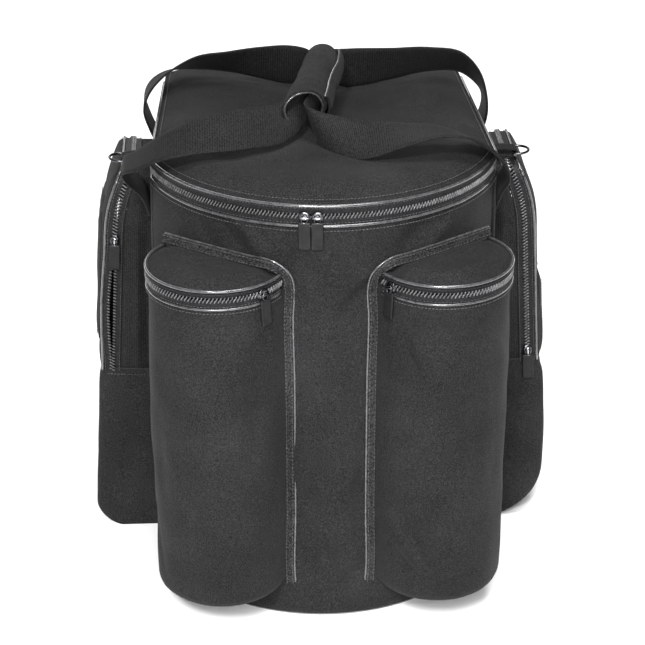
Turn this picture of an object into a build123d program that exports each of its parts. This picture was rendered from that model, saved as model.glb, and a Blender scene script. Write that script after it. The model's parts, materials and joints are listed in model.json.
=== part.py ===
from build123d import *

# Soft equipment bag with a bowed front, two round bottle pockets, two side pockets and webbing handles.
#
# Frame: +Z up, the bag's front faces -Y, origin at the middle of the base panel's underside. Millimetres.

import os
from math import asin, atan2, cos, degrees, hypot, radians, sin, sqrt

os.makedirs("parts", exist_ok=True)

# ---- main body -------------------------------------------------------------------------------
HALF_WIDTH = 170.0  # at the front corners
REAR_HALF_WIDTH = 158.0  # the sides draw in towards the back
DEPTH = 395.0
BOW = 128.0  # how far the front bulges past its corners
REAR_CORNER = 27.0
CHAIN_Z = 449.0  # middle of the main zip
FABRIC = 2.0
FOAM = 6.0
LINING = 0.8
LID_RISE = 12.0

# ---- zips ------------------------------------------------------------------------------------
TAPE = 1.6  # thickness of a zip tape with its teeth
TAPE_WIDTH = 8.4
CHAIN_GAP = 1.2  # between the two halves, where the slider's neck runs
PLATE = 1.6  # slider's front and back plates
PLATE_GAP = 0.6
SLIDER_WIDTH = 9.6
SLIDER_HALF_HEIGHT = 4.5
PIN_RADIUS = 0.9
PIN_STANDOFF = 2.6
PULLER_WIDTH = 12.0
PULLER_LENGTH = 33.0
PULLER_THICK = 2.0

# ---- bottle pockets --------------------------------------------------------------------------
POCKET_RADIUS = 66.5
POCKET_X = 108.4
POCKET_Y = -173.4
POCKET_BOTTOM = 39.0
POCKET_CHAIN_Z = 384.0
POCKET_WALL = 3.0
POCKET_LID_RISE = 12.0
FILLER = 2.3  # the lid's straight rear edge clears the bowed front by this much
POCKET_SLIDER_ANGLE = {-1: 74.0, 1: 85.0}
RIB_X = 42.6  # the bound seam down the skin, just inboard of the pocket

# ---- side pockets ----------------------------------------------------------------------------
LEAN = 3.4  # degrees that the outer face leans inwards
SIDE_X = 245.8  # outer face at its foot
SIDE_FOOT = 6.0
SIDE_TOP = 422.0  # measured up the leaning face
SIDE_FRONT = -5.0
SIDE_BACK = 105.0
SIDE_ZIP_FOOT = 194.0  # where the zip and the door end
SIDE_TOP_CORNER = 20.0
SIDE_FOOT_CORNER = {-1: 25.0, 1: 60.0}  # the right pocket's foot is the rounder one
SIDE_SLIDER_AT = {-1: 342.0, 1: 203.0}
PATCH = 6.0

# ---- handles ---------------------------------------------------------------------------------
WEBBING = 2.4
STRAP = 46.0
STRAP_FRONT_Y = -40.0
STRAP_REAR_Y = 135.0
PIVOT_Z = 395.0
GRIP_Z = 516.0
GRIP_FRONT = -46.0
GRIP_REAR = 76.0

# ---- worked out ------------------------------------------------------------------------------
FRONT_Y = -DEPTH / 2
REAR_Y = DEPTH / 2
CORNER_Y = FRONT_Y + BOW
BOW_RADIUS = (HALF_WIDTH**2 + BOW**2) / (2 * BOW)
BOW_Y = FRONT_Y + BOW_RADIUS
BODY_TOP = CHAIN_Z - CHAIN_GAP / 2 - TAPE_WIDTH
LID_SEAM = CHAIN_Z + CHAIN_GAP / 2 + TAPE_WIDTH
SIDE_END_Y = REAR_Y - REAR_CORNER - 4
ZIP_END_Y = SIDE_END_Y - 10
POCKET_WALL_TOP = POCKET_CHAIN_Z - CHAIN_GAP / 2 - TAPE_WIDTH
POCKET_LID_SEAM = POCKET_CHAIN_Z + CHAIN_GAP / 2 + TAPE_WIDTH - 1
POCKET_REACH = hypot(POCKET_X, POCKET_Y - BOW_Y)
POCKET_CHORD = BOW_RADIUS + FILLER - POCKET_REACH  # local Y of the lid's rear edge
FAR = 600.0


def side_x(y, out=0.0):
    """The side panel's outer face at y, moved out square to it."""
    slope = (HALF_WIDTH - REAR_HALF_WIDTH) / (REAR_Y - CORNER_Y)
    return HALF_WIDTH - slope * (y - CORNER_Y) + out * hypot(1, slope)


def save(piece, name):
    """Label one finished piece and write its STEP file."""
    piece.label = name
    export_step(piece, f"parts/{name}.step")


def body_plan(inset):
    """Plan of the bag moved inwards by inset: bowed front, tapering sides, rounded rear corners."""
    bow = BOW_RADIUS - inset
    corner = CORNER_Y
    for _ in range(12):  # settles where the inset side meets the inset bow
        corner = BOW_Y - sqrt(bow**2 - side_x(corner, -inset) ** 2)
    half = side_x(corner, -inset)
    rear = REAR_Y - inset
    rear_half = side_x(rear, -inset)
    with BuildSketch() as plan:
        with BuildLine():
            front = ThreePointArc((-half, corner), (0, BOW_Y - bow), (half, corner))
            Polyline(front @ 1, (rear_half, rear), (-rear_half, rear), front @ 0)
        make_face()
        fillet(plan.vertices().group_by(Axis.Y)[-1], REAR_CORNER - inset)
    return plan.sketch


def window(low_x, high_x, low_y, high_y):
    """Keep only this rectangle of the sketch being made."""
    with Locations(((low_x + high_x) / 2, (low_y + high_y) / 2)):
        Rectangle(high_x - low_x, high_y - low_y, mode=Mode.INTERSECT)


def upright(outer, inner, bottom, top, keep):
    """A standing wall between two plans, from bottom to top, inside the window keep."""
    with BuildPart() as wall:
        with BuildSketch(Plane.XY.offset(bottom)):
            add(outer)
            add(inner, mode=Mode.SUBTRACT)
            window(*keep)
        extrude(amount=top - bottom)
    return wall.part


# Which stretch of the bag's outline each panel takes.
ALL = (-FAR, FAR, -FAR, FAR)
STRETCHES = {
    "front": (-FAR, FAR, -FAR, CORNER_Y),
    "left": (-FAR, 0, CORNER_Y, SIDE_END_Y),
    "right": (0, FAR, CORNER_Y, SIDE_END_Y),
    "back": (-FAR, FAR, SIDE_END_Y, FAR),
}
UNDER_FOAM = FABRIC + 4.0  # the base board's top
skin, skin_inner = body_plan(0), body_plan(FABRIC)
foam_inner, lining_inner = body_plan(FABRIC + FOAM), body_plan(FABRIC + FOAM + LINING)
tape_inner = body_plan(TAPE)


# ---- main body -------------------------------------------------------------------------------
with BuildPart() as base_panel:
    with BuildSketch():
        add(skin)
    extrude(amount=FABRIC)
save(base_panel.part, "base_panel")

with BuildPart() as base_board:
    with BuildSketch(Plane.XY.offset(FABRIC)):
        add(skin_inner)
    extrude(amount=UNDER_FOAM - FABRIC)
save(base_board.part, "base_board")

FOAM_TOP = BODY_TOP - 3
for stretch, keep in STRETCHES.items():
    wall = upright(skin, skin_inner, FABRIC, BODY_TOP, keep)
    if stretch != "back":
        save(wall, f"{stretch}_panel")
    save(upright(skin_inner, foam_inner, UNDER_FOAM, FOAM_TOP, keep), f"{stretch}_foam")

lining_wall = upright(foam_inner, lining_inner, UNDER_FOAM, FOAM_TOP, ALL)
with BuildPart() as compartment_lining:
    add(lining_wall)
    with BuildSketch(Plane.XY.offset(UNDER_FOAM)):
        add(foam_inner)
    extrude(amount=LINING)
save(compartment_lining.part, "compartment_lining")

ZIP_STRETCH = (-FAR, FAR, -FAR, ZIP_END_Y)
BEHIND_ZIP = (-FAR, FAR, ZIP_END_Y + 1, FAR)
LOWER_EDGE = CHAIN_Z - CHAIN_GAP / 2
UPPER_EDGE = CHAIN_Z + CHAIN_GAP / 2
save(upright(skin, tape_inner, BODY_TOP, LOWER_EDGE, ZIP_STRETCH), "main_zip_lower")

back_wall = upright(skin, skin_inner, FABRIC, BODY_TOP, STRETCHES["back"])
back_collar = upright(skin, tape_inner, BODY_TOP, LOWER_EDGE, BEHIND_ZIP)
with BuildPart() as back_panel:
    add(back_wall)
    add(back_collar)
save(back_panel.part, "back_panel")

# ---- main lid --------------------------------------------------------------------------------
LID_CAVITY = 7.0
lid_cavity = body_plan(4)

save(upright(skin, tape_inner, UPPER_EDGE, LID_SEAM, ZIP_STRETCH), "main_zip_upper")

rear_rim = upright(skin, tape_inner, UPPER_EDGE, LID_SEAM, BEHIND_ZIP)
with BuildPart() as lid_panel:
    with BuildSketch(Plane.XY.offset(LID_SEAM)):
        add(skin)
    extrude(amount=LID_RISE)
    chamfer(lid_panel.faces().sort_by(Axis.Z)[-1].edges(), 8)
    with BuildSketch(Plane.XY.offset(LID_SEAM)):
        add(lid_cavity)
    extrude(amount=LID_CAVITY, mode=Mode.SUBTRACT)
    add(rear_rim)
save(lid_panel.part, "lid_panel")

with BuildPart() as lid_foam:
    with BuildSketch(Plane.XY.offset(LID_SEAM + LINING)):
        add(lid_cavity)
    extrude(amount=LID_CAVITY - LINING)
save(lid_foam.part, "lid_foam")

with BuildPart() as lid_lining:
    with BuildSketch(Plane.XY.offset(LID_SEAM)):
        add(lid_cavity)
    extrude(amount=LINING)
save(lid_lining.part, "lid_lining")

save(upright(body_plan(-1.5), skin, LID_SEAM - 1, LID_SEAM + 2, ALL), "lid_binding")


# ---- zip sliders and pullers -----------------------------------------------------------------
def curved_slider(centre, radius, bearing):
    """A slider on a curved zip whose tape has this outer radius; bearing is in degrees about +Z.

    Its two plates follow the curve and its neck runs in the gap between the zip's halves. The
    slot is open upwards, so the upper half lifts out.
    """
    front, back = radius + PLATE_GAP, radius - TAPE - PLATE_GAP
    seat = Plane(centre, x_dir=Vector(1, 0, 0).rotate(Axis.Z, bearing), z_dir=(0, 0, 1))
    lugs = lugs_and_pin(curved_mount(centre, radius, bearing))
    with BuildPart() as slider:
        with BuildSketch(seat.offset(-SLIDER_HALF_HEIGHT)):
            Circle(front + PLATE)
            Circle(front, mode=Mode.SUBTRACT)
            window(0, FAR, -SLIDER_WIDTH / 2, SLIDER_WIDTH / 2)
        extrude(amount=2 * SLIDER_HALF_HEIGHT)
        with BuildSketch(seat.offset(-SLIDER_HALF_HEIGHT)):
            Circle(back)
            Circle(back - PLATE, mode=Mode.SUBTRACT)
            window(0, FAR, -SLIDER_WIDTH / 2, SLIDER_WIDTH / 2)
        extrude(amount=2 * SLIDER_HALF_HEIGHT)
        neck = CHAIN_GAP / 2 - 0.2
        with BuildSketch(seat.offset(-neck)):
            Circle(front + PLATE / 2)
            Circle(back - PLATE / 2, mode=Mode.SUBTRACT)
            window(0, FAR, -1.5, 1.5)
        extrude(amount=2 * neck)
        add(lugs)
    return slider.part


def straight_slider(face):
    """A slider on a straight zip: face lies on the tape's outer side, X across it, Y along it."""
    height, width = 2 * SLIDER_HALF_HEIGHT, SLIDER_WIDTH
    neck = CHAIN_GAP / 2 - 0.2
    lugs = lugs_and_pin(face.offset(PLATE_GAP + PLATE))
    with BuildPart() as slider:
        for level in (PLATE_GAP, -TAPE - PLATE_GAP - PLATE):
            with BuildSketch(face.offset(level)):
                Rectangle(height, width)
            extrude(amount=PLATE)
        with BuildSketch(face.offset(-TAPE - PLATE_GAP - PLATE / 2)):
            Rectangle(2 * neck, 3)
        extrude(amount=TAPE + 2 * PLATE_GAP + PLATE)
        add(lugs)
    return slider.part


def lugs_and_pin(mount):
    """Two lugs standing on mount, a pin across them along mount's X."""
    inside = 3.2
    start = mount.from_local_coords((-inside - 1.0, 0, PIN_STANDOFF))
    across = Plane(start, x_dir=mount.y_dir, z_dir=mount.x_dir)
    with BuildPart() as lugs:
        with BuildSketch(mount.offset(-0.4)):
            for end in (-1, 1):
                with Locations((end * (inside + 0.6), 0)):
                    Rectangle(1.2, 2.6)
        extrude(amount=PIN_STANDOFF + 1.3)
        with BuildSketch(across):
            Circle(PIN_RADIUS)
        extrude(amount=2 * inside + 2.0)
    return lugs.part


def hanging_puller(mount, down):
    """The pull tab on the pin above mount, hanging along down; it turns about the pin."""
    pin = mount.from_local_coords((0, 0, PIN_STANDOFF))
    eye = Plane(pin, x_dir=mount.z_dir, z_dir=mount.x_dir)
    flat = Plane(pin - mount.z_dir * PULLER_THICK / 2, x_dir=mount.x_dir, z_dir=mount.z_dir)
    away = 1 if (flat.y_dir).dot(down) > 0 else -1
    with BuildPart() as puller:
        with BuildSketch(flat):
            with Locations((0, away * 4.5)):
                Rectangle(5.4, 6)
            with Locations((0, away * (6.5 + (PULLER_LENGTH - 6.5) / 2))):
                RectangleRounded(PULLER_WIDTH, PULLER_LENGTH - 6.5, 1.2)
        extrude(amount=PULLER_THICK)
        with BuildSketch(eye.offset(-2.7)):
            Circle(2.3)
        extrude(amount=5.4)
        with BuildSketch(eye.offset(-2.7)):
            Circle(PIN_RADIUS + 0.3)
        extrude(amount=5.4, mode=Mode.SUBTRACT)
    return puller.part


def curved_mount(centre, radius, bearing):
    """Where a curved slider's lugs stand: X along the zip, Z outwards."""
    seat = Plane(centre, x_dir=Vector(1, 0, 0).rotate(Axis.Z, bearing), z_dir=(0, 0, 1))
    out = radius + PLATE_GAP + PLATE
    return Plane(seat.from_local_coords((out, 0, 0)), x_dir=seat.y_dir, z_dir=seat.x_dir)


DOWN = Vector(0, 0, -1)
MAIN_SLIDER_BEARING = {"left": -98.1, "right": -94.2}
for name, bearing in MAIN_SLIDER_BEARING.items():
    chain_centre = (0, BOW_Y, CHAIN_Z)
    save(curved_slider(chain_centre, BOW_RADIUS, bearing), f"{name}_main_slider")
    tab = hanging_puller(curved_mount(chain_centre, BOW_RADIUS, bearing), DOWN)
    save(tab, f"{name}_main_puller")


# ---- bottle pockets --------------------------------------------------------------------------
def pocket_plane(side, z):
    """On a bottle pocket's axis at height z: Y points away from the bag's bow, X along its skin."""
    centre = Vector(side * POCKET_X, POCKET_Y, z)
    out = Vector(side * POCKET_X, POCKET_Y - BOW_Y, 0).normalized()
    return Plane(centre, x_dir=out.cross(Vector(0, 0, 1)), z_dir=(0, 0, 1))


def clear_of_bow():
    """Cut the bag's bowed front out of a pocket sketch."""
    with Locations((0, -POCKET_REACH)):
        Circle(BOW_RADIUS, mode=Mode.SUBTRACT)


def pocket_wall(side):
    with BuildPart() as wall:
        with BuildSketch(pocket_plane(side, POCKET_BOTTOM + POCKET_WALL)):
            Circle(POCKET_RADIUS)
            Circle(POCKET_RADIUS - POCKET_WALL, mode=Mode.SUBTRACT)
            clear_of_bow()
        extrude(amount=POCKET_WALL_TOP - POCKET_BOTTOM - POCKET_WALL)
    return wall.part


def pocket_base(side):
    with BuildPart() as base:
        with BuildSketch(pocket_plane(side, POCKET_BOTTOM)):
            Circle(POCKET_RADIUS)
            clear_of_bow()
        extrude(amount=POCKET_WALL)
    return base.part


def pocket_zip(side, bottom, top):
    with BuildPart() as half_zip:
        with BuildSketch(pocket_plane(side, bottom)):
            Circle(POCKET_RADIUS)
            Circle(POCKET_RADIUS - TAPE, mode=Mode.SUBTRACT)
            window(-FAR, FAR, POCKET_CHORD, FAR)
        extrude(amount=top - bottom)
    return half_zip.part


def pocket_flange(side):
    """The bound seam: a filler between the bow and the lid's straight edge, and a rib down the skin."""
    rib_angle = degrees(asin(RIB_X / BOW_RADIUS))
    rib = Plane((0, BOW_Y, POCKET_BOTTOM), x_dir=(1, 0, 0), z_dir=(0, 0, 1))
    with BuildPart() as flange:
        with BuildSketch(pocket_plane(side, POCKET_WALL_TOP)):
            Circle(POCKET_RADIUS)
            window(-FAR, FAR, -FAR, POCKET_CHORD - 0.6)
            clear_of_bow()
        extrude(amount=POCKET_LID_SEAM + POCKET_LID_RISE - POCKET_WALL_TOP)
        with BuildSketch(rib):
            with PolarLocations(BOW_RADIUS + 3, 1, start_angle=-90 + side * rib_angle):
                Rectangle(6, 2.4)
            Circle(BOW_RADIUS, mode=Mode.SUBTRACT)
        extrude(amount=POCKET_WALL_TOP - POCKET_BOTTOM)
    return flange.part


def pocket_lid(side):
    seam = pocket_plane(side, POCKET_LID_SEAM)
    rear = seam.from_local_coords((0, POCKET_CHORD, 0))
    with BuildPart() as lid:
        with BuildSketch(seam):
            Circle(POCKET_RADIUS)
        extrude(amount=POCKET_LID_RISE)
        chamfer(lid.faces().sort_by(Axis.Z)[-1].edges(), 6)
        split(bisect_by=Plane(rear, x_dir=seam.x_dir, z_dir=seam.y_dir), keep=Keep.TOP)
    return lid.part


def pocket_bearing(side):
    """The slider's bearing about +Z: POCKET_SLIDER_ANGLE from outwards towards the bag's middle."""
    outwards = degrees(atan2(POCKET_Y - BOW_Y, side * POCKET_X))
    return outwards - side * POCKET_SLIDER_ANGLE[side]


# ---- side pockets ----------------------------------------------------------------------------
def side_plane(side, depth=0.0):
    """The leaning outer face moved in by depth: Z outwards, Y up the face, X along the bag."""
    out = Vector(side * cos(radians(LEAN)), 0, sin(radians(LEAN)))
    up = Vector(-side * sin(radians(LEAN)), 0, cos(radians(LEAN)))
    return Plane(Vector(side * SIDE_X, 0, SIDE_FOOT) - out * depth, x_dir=up.cross(out), z_dir=out)


def along(side, y):
    """Local X of a place at y, since the left face's X runs forwards."""
    return side * y


def side_outline(side, inset, low, high):
    """The side pocket's rounded outline, between two heights up its face."""
    near, far = SIDE_FRONT + inset, SIDE_BACK - inset
    with BuildSketch() as outline:
        with Locations((along(side, (near + far) / 2), SIDE_TOP / 2)):
            Rectangle(far - near, SIDE_TOP - 2 * inset)
        corners = outline.vertices().group_by(Axis.Y)
        fillet(corners[-1], SIDE_TOP_CORNER - inset)
        window(-FAR, FAR, low, high)
    return outline.sketch


ZIP_BAND = TAPE_WIDTH  # each half zip's width, square to the face
DOOR = 2.5
GUSSET_DEPTH = DOOR + 2 * ZIP_BAND + CHAIN_GAP


def side_block(side, inset, depth_from):
    """The side pocket's outline as a solid block with its outer foot rounded."""
    with BuildPart() as block:
        with BuildSketch(side_plane(side, depth_from)):
            add(side_outline(side, inset, -FAR, FAR))
        extrude(amount=-110)
        outwards = Axis((0, 0, 0), (side * 50, 0, -1))
        fillet(block.edges().filter_by(Axis.Y).sort_by(outwards)[-1], SIDE_FOOT_CORNER[side] - inset)
    return block.part


def side_gusset(side):
    """The strip that runs round the pocket, and the fixed face below the door."""
    block, cavity = side_block(side, 0, 0), side_block(side, DOOR, DOOR)
    wall = Plane(
        (side * side_x(CORNER_Y, 0.3), CORNER_Y, 0),
        x_dir=(0, 0, 1),
        z_dir=Vector(side, (HALF_WIDTH - REAR_HALF_WIDTH) / (REAR_Y - CORNER_Y), 0),
    )
    with BuildPart() as gusset:
        add(block)
        add(cavity, mode=Mode.SUBTRACT)
        with BuildSketch(side_plane(side)):
            add(side_outline(side, -1, SIDE_ZIP_FOOT, FAR))
        extrude(amount=-GUSSET_DEPTH, mode=Mode.SUBTRACT)
        split(bisect_by=wall, keep=Keep.TOP)
    return gusset.part


def side_zip(side, depth):
    """One half of the side zip, from the foot up the front edge, over the top and down the back."""
    with BuildPart() as half_zip:
        with BuildSketch(side_plane(side, depth)):
            add(side_outline(side, 0, SIDE_ZIP_FOOT + 0.6, FAR))
            add(side_outline(side, TAPE, SIDE_ZIP_FOOT + 0.6, FAR), mode=Mode.SUBTRACT)
        extrude(amount=-ZIP_BAND)
    return half_zip.part


def side_door(side):
    with BuildPart() as door:
        with BuildSketch(side_plane(side, 0)):
            add(side_outline(side, 0, SIDE_ZIP_FOOT + 0.6, FAR))
        extrude(amount=-DOOR)
    return door.part


def patch_pocket(side):
    """A flat pocket sewn on the outside of the door."""
    face = side_plane(side)
    with BuildPart() as patch:
        with BuildSketch(face):
            with Locations((along(side, (SIDE_FRONT + SIDE_BACK) / 2), 300)):
                RectangleRounded(SIDE_BACK - SIDE_FRONT - 16, 170, 8)
        extrude(amount=PATCH)
        chamfer(patch.faces().sort_by(Axis(face.origin, face.z_dir))[-1].edges(), 3)
    return patch.part


def side_slider_face(side):
    """On the front tape of the side zip: Z forwards, X across the zip, Y up it."""
    frame = side_plane(side, DOOR + ZIP_BAND + CHAIN_GAP / 2)
    at = frame.from_local_coords((along(side, SIDE_FRONT), SIDE_SLIDER_AT[side], 0))
    return Plane(at, x_dir=frame.z_dir * -side, z_dir=(0, -1, 0))


# ---- rings and their tabs --------------------------------------------------------------------
RING_WIRE = 1.5
RING_ARC_WIRE = 1.35
RING_BAR = 23.0
RING_Y = 10.0
RING_DEPTH = 20.0  # from the face in to the bar
RING_LIFT = 3.9


def ring_plane(side):
    """On the ring's bar: Z up the face, Y outwards, X along the bag."""
    frame = side_plane(side, RING_DEPTH)
    at = frame.from_local_coords((along(side, RING_Y), SIDE_TOP + RING_LIFT, 0))
    return Plane(at, x_dir=frame.y_dir.cross(frame.z_dir) * -1, z_dir=frame.y_dir)


def ring_tab(side):
    plane = ring_plane(side)
    knuckle = Plane(plane.from_local_coords((-9, 0, 0)), x_dir=plane.z_dir, z_dir=plane.x_dir)
    with BuildPart() as tab:
        with BuildSketch(knuckle):
            Circle(RING_WIRE + 1.8)
        extrude(amount=18)
        inwards = 1 if plane.y_dir.X * side < 0 else -1
        with BuildSketch(plane.offset(-RING_LIFT + 0.3)):
            with Locations((0, inwards * 16)):
                Rectangle(18, 32)
        extrude(amount=2.6)
        with BuildSketch(knuckle):
            Circle(RING_WIRE + 0.4)
        extrude(amount=18, mode=Mode.SUBTRACT)
    return tab.part


def d_ring(side):
    plane = ring_plane(side)
    outwards = 1 if plane.y_dir.X * side > 0 else -1
    reach = 4.0
    with BuildPart() as ring:
        bar_end = plane.from_local_coords((-RING_BAR / 2 - 1.8, 0, 0))
        bar = Plane(bar_end, x_dir=plane.z_dir, z_dir=plane.x_dir)
        with BuildSketch(bar):
            Circle(RING_WIRE)
        extrude(amount=RING_BAR + 3.6)
        for end in (-1, 1):
            root = plane.from_local_coords((end * RING_BAR / 2, 0, 0))
            arm = Plane(root, x_dir=plane.x_dir, z_dir=plane.y_dir * outwards)
            with BuildSketch(arm):
                Circle(RING_ARC_WIRE)
            extrude(amount=reach)
        hub = plane.from_local_coords((0, outwards * reach, 0))
        start = plane.from_local_coords((RING_BAR / 2, outwards * reach, 0))
        with BuildSketch(Plane(start, x_dir=plane.x_dir, z_dir=plane.y_dir)):
            Circle(RING_ARC_WIRE)
        revolve(axis=Axis(hub, plane.z_dir * outwards), revolution_arc=180)
    return ring.part


# ---- handles ---------------------------------------------------------------------------------
# The crossing strap stands on edge: (x, y, z of its middle, half its height), front to back.
CROSSING = [
    (203, -78, 462, 23),
    (167, -98, 484, 22),
    (149, -100, 495, 22),
    (127, -100, 497, 24),
    (83, -90, 500, 24),
    (36, -70, 508, 23),
    (4.5, -52, GRIP_Z, 14),
    (4.5, 82, GRIP_Z, 14),
    (36, 98, 508, 20),
    (83, 107, 498, 22),
    (125, 111, 495, 22),
    (149, 113, 494, 21),
    (167, 118, 483, 20),
    (182, 124, 464, 22),
]


# Each riser leaves the side panel at its first Y and leans by the second: (y, lean, top, reach).
RISERS = ((STRAP_FRONT_Y, -16, 468, 203), (STRAP_REAR_Y, -5, 470, 182))
RISER_GAP = 1.5


def handle(side):
    """One webbing loop: a riser at each end, and the strap on edge between them."""
    with BuildPart() as loop:
        for (x, y, z, half), (x2, y2, z2, half2) in zip(CROSSING, CROSSING[1:]):
            run = Vector(side * (x2 - x), y2 - y, 0)
            strap = Plane((side * x, y, 0), x_dir=run, z_dir=run.cross(Vector(0, 0, 1)))
            rise = strap.y_dir.Z
            corners = ((0, z - half), (0, z + half), (run.length, z2 + half2), (run.length, z2 - half2))
            with BuildSketch(strap.offset(-WEBBING / 2)):
                with BuildLine():
                    Polyline([(along_run, rise * level) for along_run, level in corners], close=True)
                make_face()
            extrude(amount=WEBBING)
        for y, lean, top, reach in RISERS:
            low = side_x(y, RISER_GAP + WEBBING / 2)
            bend = (442, low + 0.8 * (reach - low), y + 0.6 * lean)
            stages = ((PIVOT_Z + 1, low, y), bend, (top, reach, y + lean))
            for z, x, middle in stages:
                with BuildSketch(Plane.XY.offset(z)):
                    with Locations((side * x, middle)):
                        Rectangle(WEBBING, STRAP)
            loft(ruled=True)
    return loop.part


def handle_anchors(side):
    """The sewn ends of the webbing, flat on the side panel at the front and at the back."""
    with BuildPart() as anchors:
        for y in (STRAP_FRONT_Y, STRAP_REAR_Y):
            near, far = y - STRAP / 2, y + STRAP / 2
            with BuildSketch(Plane.XY.offset(60)):
                with BuildLine():
                    Polyline(
                        (side * side_x(near), near),
                        (side * side_x(far), far),
                        (side * side_x(far, WEBBING), far),
                        (side * side_x(near, WEBBING), near),
                        close=True,
                    )
                make_face()
            extrude(amount=PIVOT_Z - 60)
    return anchors.part


with BuildPart() as grip_wrap:
    with BuildSketch(Plane.XZ.offset(-GRIP_FRONT)):
        with Locations((0, GRIP_Z)):
            RectangleRounded(38, 40, 12)
            RectangleRounded(25, 31, 7, mode=Mode.SUBTRACT)
        with Locations((16, GRIP_Z)):
            Rectangle(12, 18, mode=Mode.SUBTRACT)
    extrude(amount=GRIP_FRONT - GRIP_REAR)
save(grip_wrap.part, "grip_wrap")

for side, word in ((-1, "left"), (1, "right")):
    save(pocket_wall(side), f"{word}_bottle_wall")
    save(pocket_base(side), f"{word}_bottle_base")
    save(pocket_flange(side), f"{word}_bottle_flange")
    save(pocket_zip(side, POCKET_WALL_TOP, POCKET_CHAIN_Z - CHAIN_GAP / 2), f"{word}_bottle_zip_lower")
    save(pocket_zip(side, POCKET_CHAIN_Z + CHAIN_GAP / 2, POCKET_LID_SEAM), f"{word}_bottle_zip_upper")
    save(pocket_lid(side), f"{word}_bottle_lid")
    chain_centre = pocket_plane(side, POCKET_CHAIN_Z).origin
    bearing = pocket_bearing(side)
    save(curved_slider(chain_centre, POCKET_RADIUS, bearing), f"{word}_bottle_slider")
    tab = hanging_puller(curved_mount(chain_centre, POCKET_RADIUS, bearing), DOWN)
    save(tab, f"{word}_bottle_puller")

    save(side_gusset(side), f"{word}_side_gusset")
    save(side_zip(side, DOOR + ZIP_BAND + CHAIN_GAP), f"{word}_side_zip_inner")
    save(side_zip(side, DOOR), f"{word}_side_zip_outer")
    save(side_door(side), f"{word}_side_door")
    save(patch_pocket(side), f"{word}_patch_pocket")
    face = side_slider_face(side)
    save(straight_slider(face), f"{word}_side_slider")
    pin_mount = face.offset(PLATE_GAP + PLATE)
    save(hanging_puller(pin_mount, DOWN), f"{word}_side_puller")

    save(handle(side), f"{word}_handle")
    save(handle_anchors(side), f"{word}_handle_anchors")
    save(ring_tab(side), f"{word}_ring_tab")
    save(d_ring(side), f"{word}_d_ring")
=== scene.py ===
"""A padded black flight bag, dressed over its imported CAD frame. Metres, Z up, the front faces -Y."""

import json
from math import asin, atan2, cos, hypot, pi, radians, sin, sqrt

import bmesh
import bpy
import numpy as np
from mathutils import Matrix, Vector, noise

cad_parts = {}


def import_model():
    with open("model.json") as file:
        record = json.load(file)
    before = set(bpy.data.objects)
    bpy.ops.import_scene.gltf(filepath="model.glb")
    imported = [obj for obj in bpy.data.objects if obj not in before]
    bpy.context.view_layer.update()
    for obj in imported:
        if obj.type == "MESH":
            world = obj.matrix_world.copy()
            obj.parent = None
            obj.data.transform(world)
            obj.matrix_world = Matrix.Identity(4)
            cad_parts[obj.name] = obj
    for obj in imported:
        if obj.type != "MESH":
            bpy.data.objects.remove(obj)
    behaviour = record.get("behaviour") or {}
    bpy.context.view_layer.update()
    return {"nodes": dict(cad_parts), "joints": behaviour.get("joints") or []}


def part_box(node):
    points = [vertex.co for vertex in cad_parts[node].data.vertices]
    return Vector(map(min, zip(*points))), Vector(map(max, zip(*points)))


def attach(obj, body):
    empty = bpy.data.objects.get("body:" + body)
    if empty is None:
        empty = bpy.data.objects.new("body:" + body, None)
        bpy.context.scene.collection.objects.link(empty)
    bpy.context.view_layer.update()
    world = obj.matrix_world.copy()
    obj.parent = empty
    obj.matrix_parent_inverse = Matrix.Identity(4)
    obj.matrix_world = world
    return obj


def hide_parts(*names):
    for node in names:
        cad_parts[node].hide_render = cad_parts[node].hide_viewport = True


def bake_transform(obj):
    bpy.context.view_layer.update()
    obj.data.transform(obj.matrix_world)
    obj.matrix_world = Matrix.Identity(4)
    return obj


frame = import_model()
JOINTS = {joint["name"]: joint for joint in frame["joints"]}
SIDES = {-1: "left", 1: "right"}
UP = np.array((0.0, 0.0, 1.0))

# ---- sizes, from the frame -------------------------------------------------------------------
_, BOW_Y, CHAIN_Z = JOINTS["left_main_zip"]["pos_m"]
BOW_RADIUS = BOW_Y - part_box("front_panel")[0].y
HALF_WIDTH, CORNER_Y, BODY_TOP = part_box("front_panel")[1]
SIDE_END_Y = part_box("left_panel")[1].y
REAR_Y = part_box("base_panel")[1].y
LID_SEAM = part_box("main_zip_upper")[1].z
LID_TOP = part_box("lid_panel")[1].z
ZIP_END_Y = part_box("main_zip_lower")[1].y
POCKET_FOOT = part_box("left_bottle_base")[0].z
POCKET_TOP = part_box("left_bottle_wall")[1].z
POCKET_CHAIN_Z = JOINTS["left_bottle_zip"]["pos_m"][2]
POCKET_LID_SEAM, POCKET_LID_TOP = (corner.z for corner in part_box("left_bottle_lid"))
_, SIDE_FRONT, SIDE_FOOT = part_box("left_side_gusset")[0]
SIDE_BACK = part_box("left_side_gusset")[1].y
SIDE_AXIS = JOINTS["right_side_zip"]["axis"]  # up the right pocket's leaning face

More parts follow.
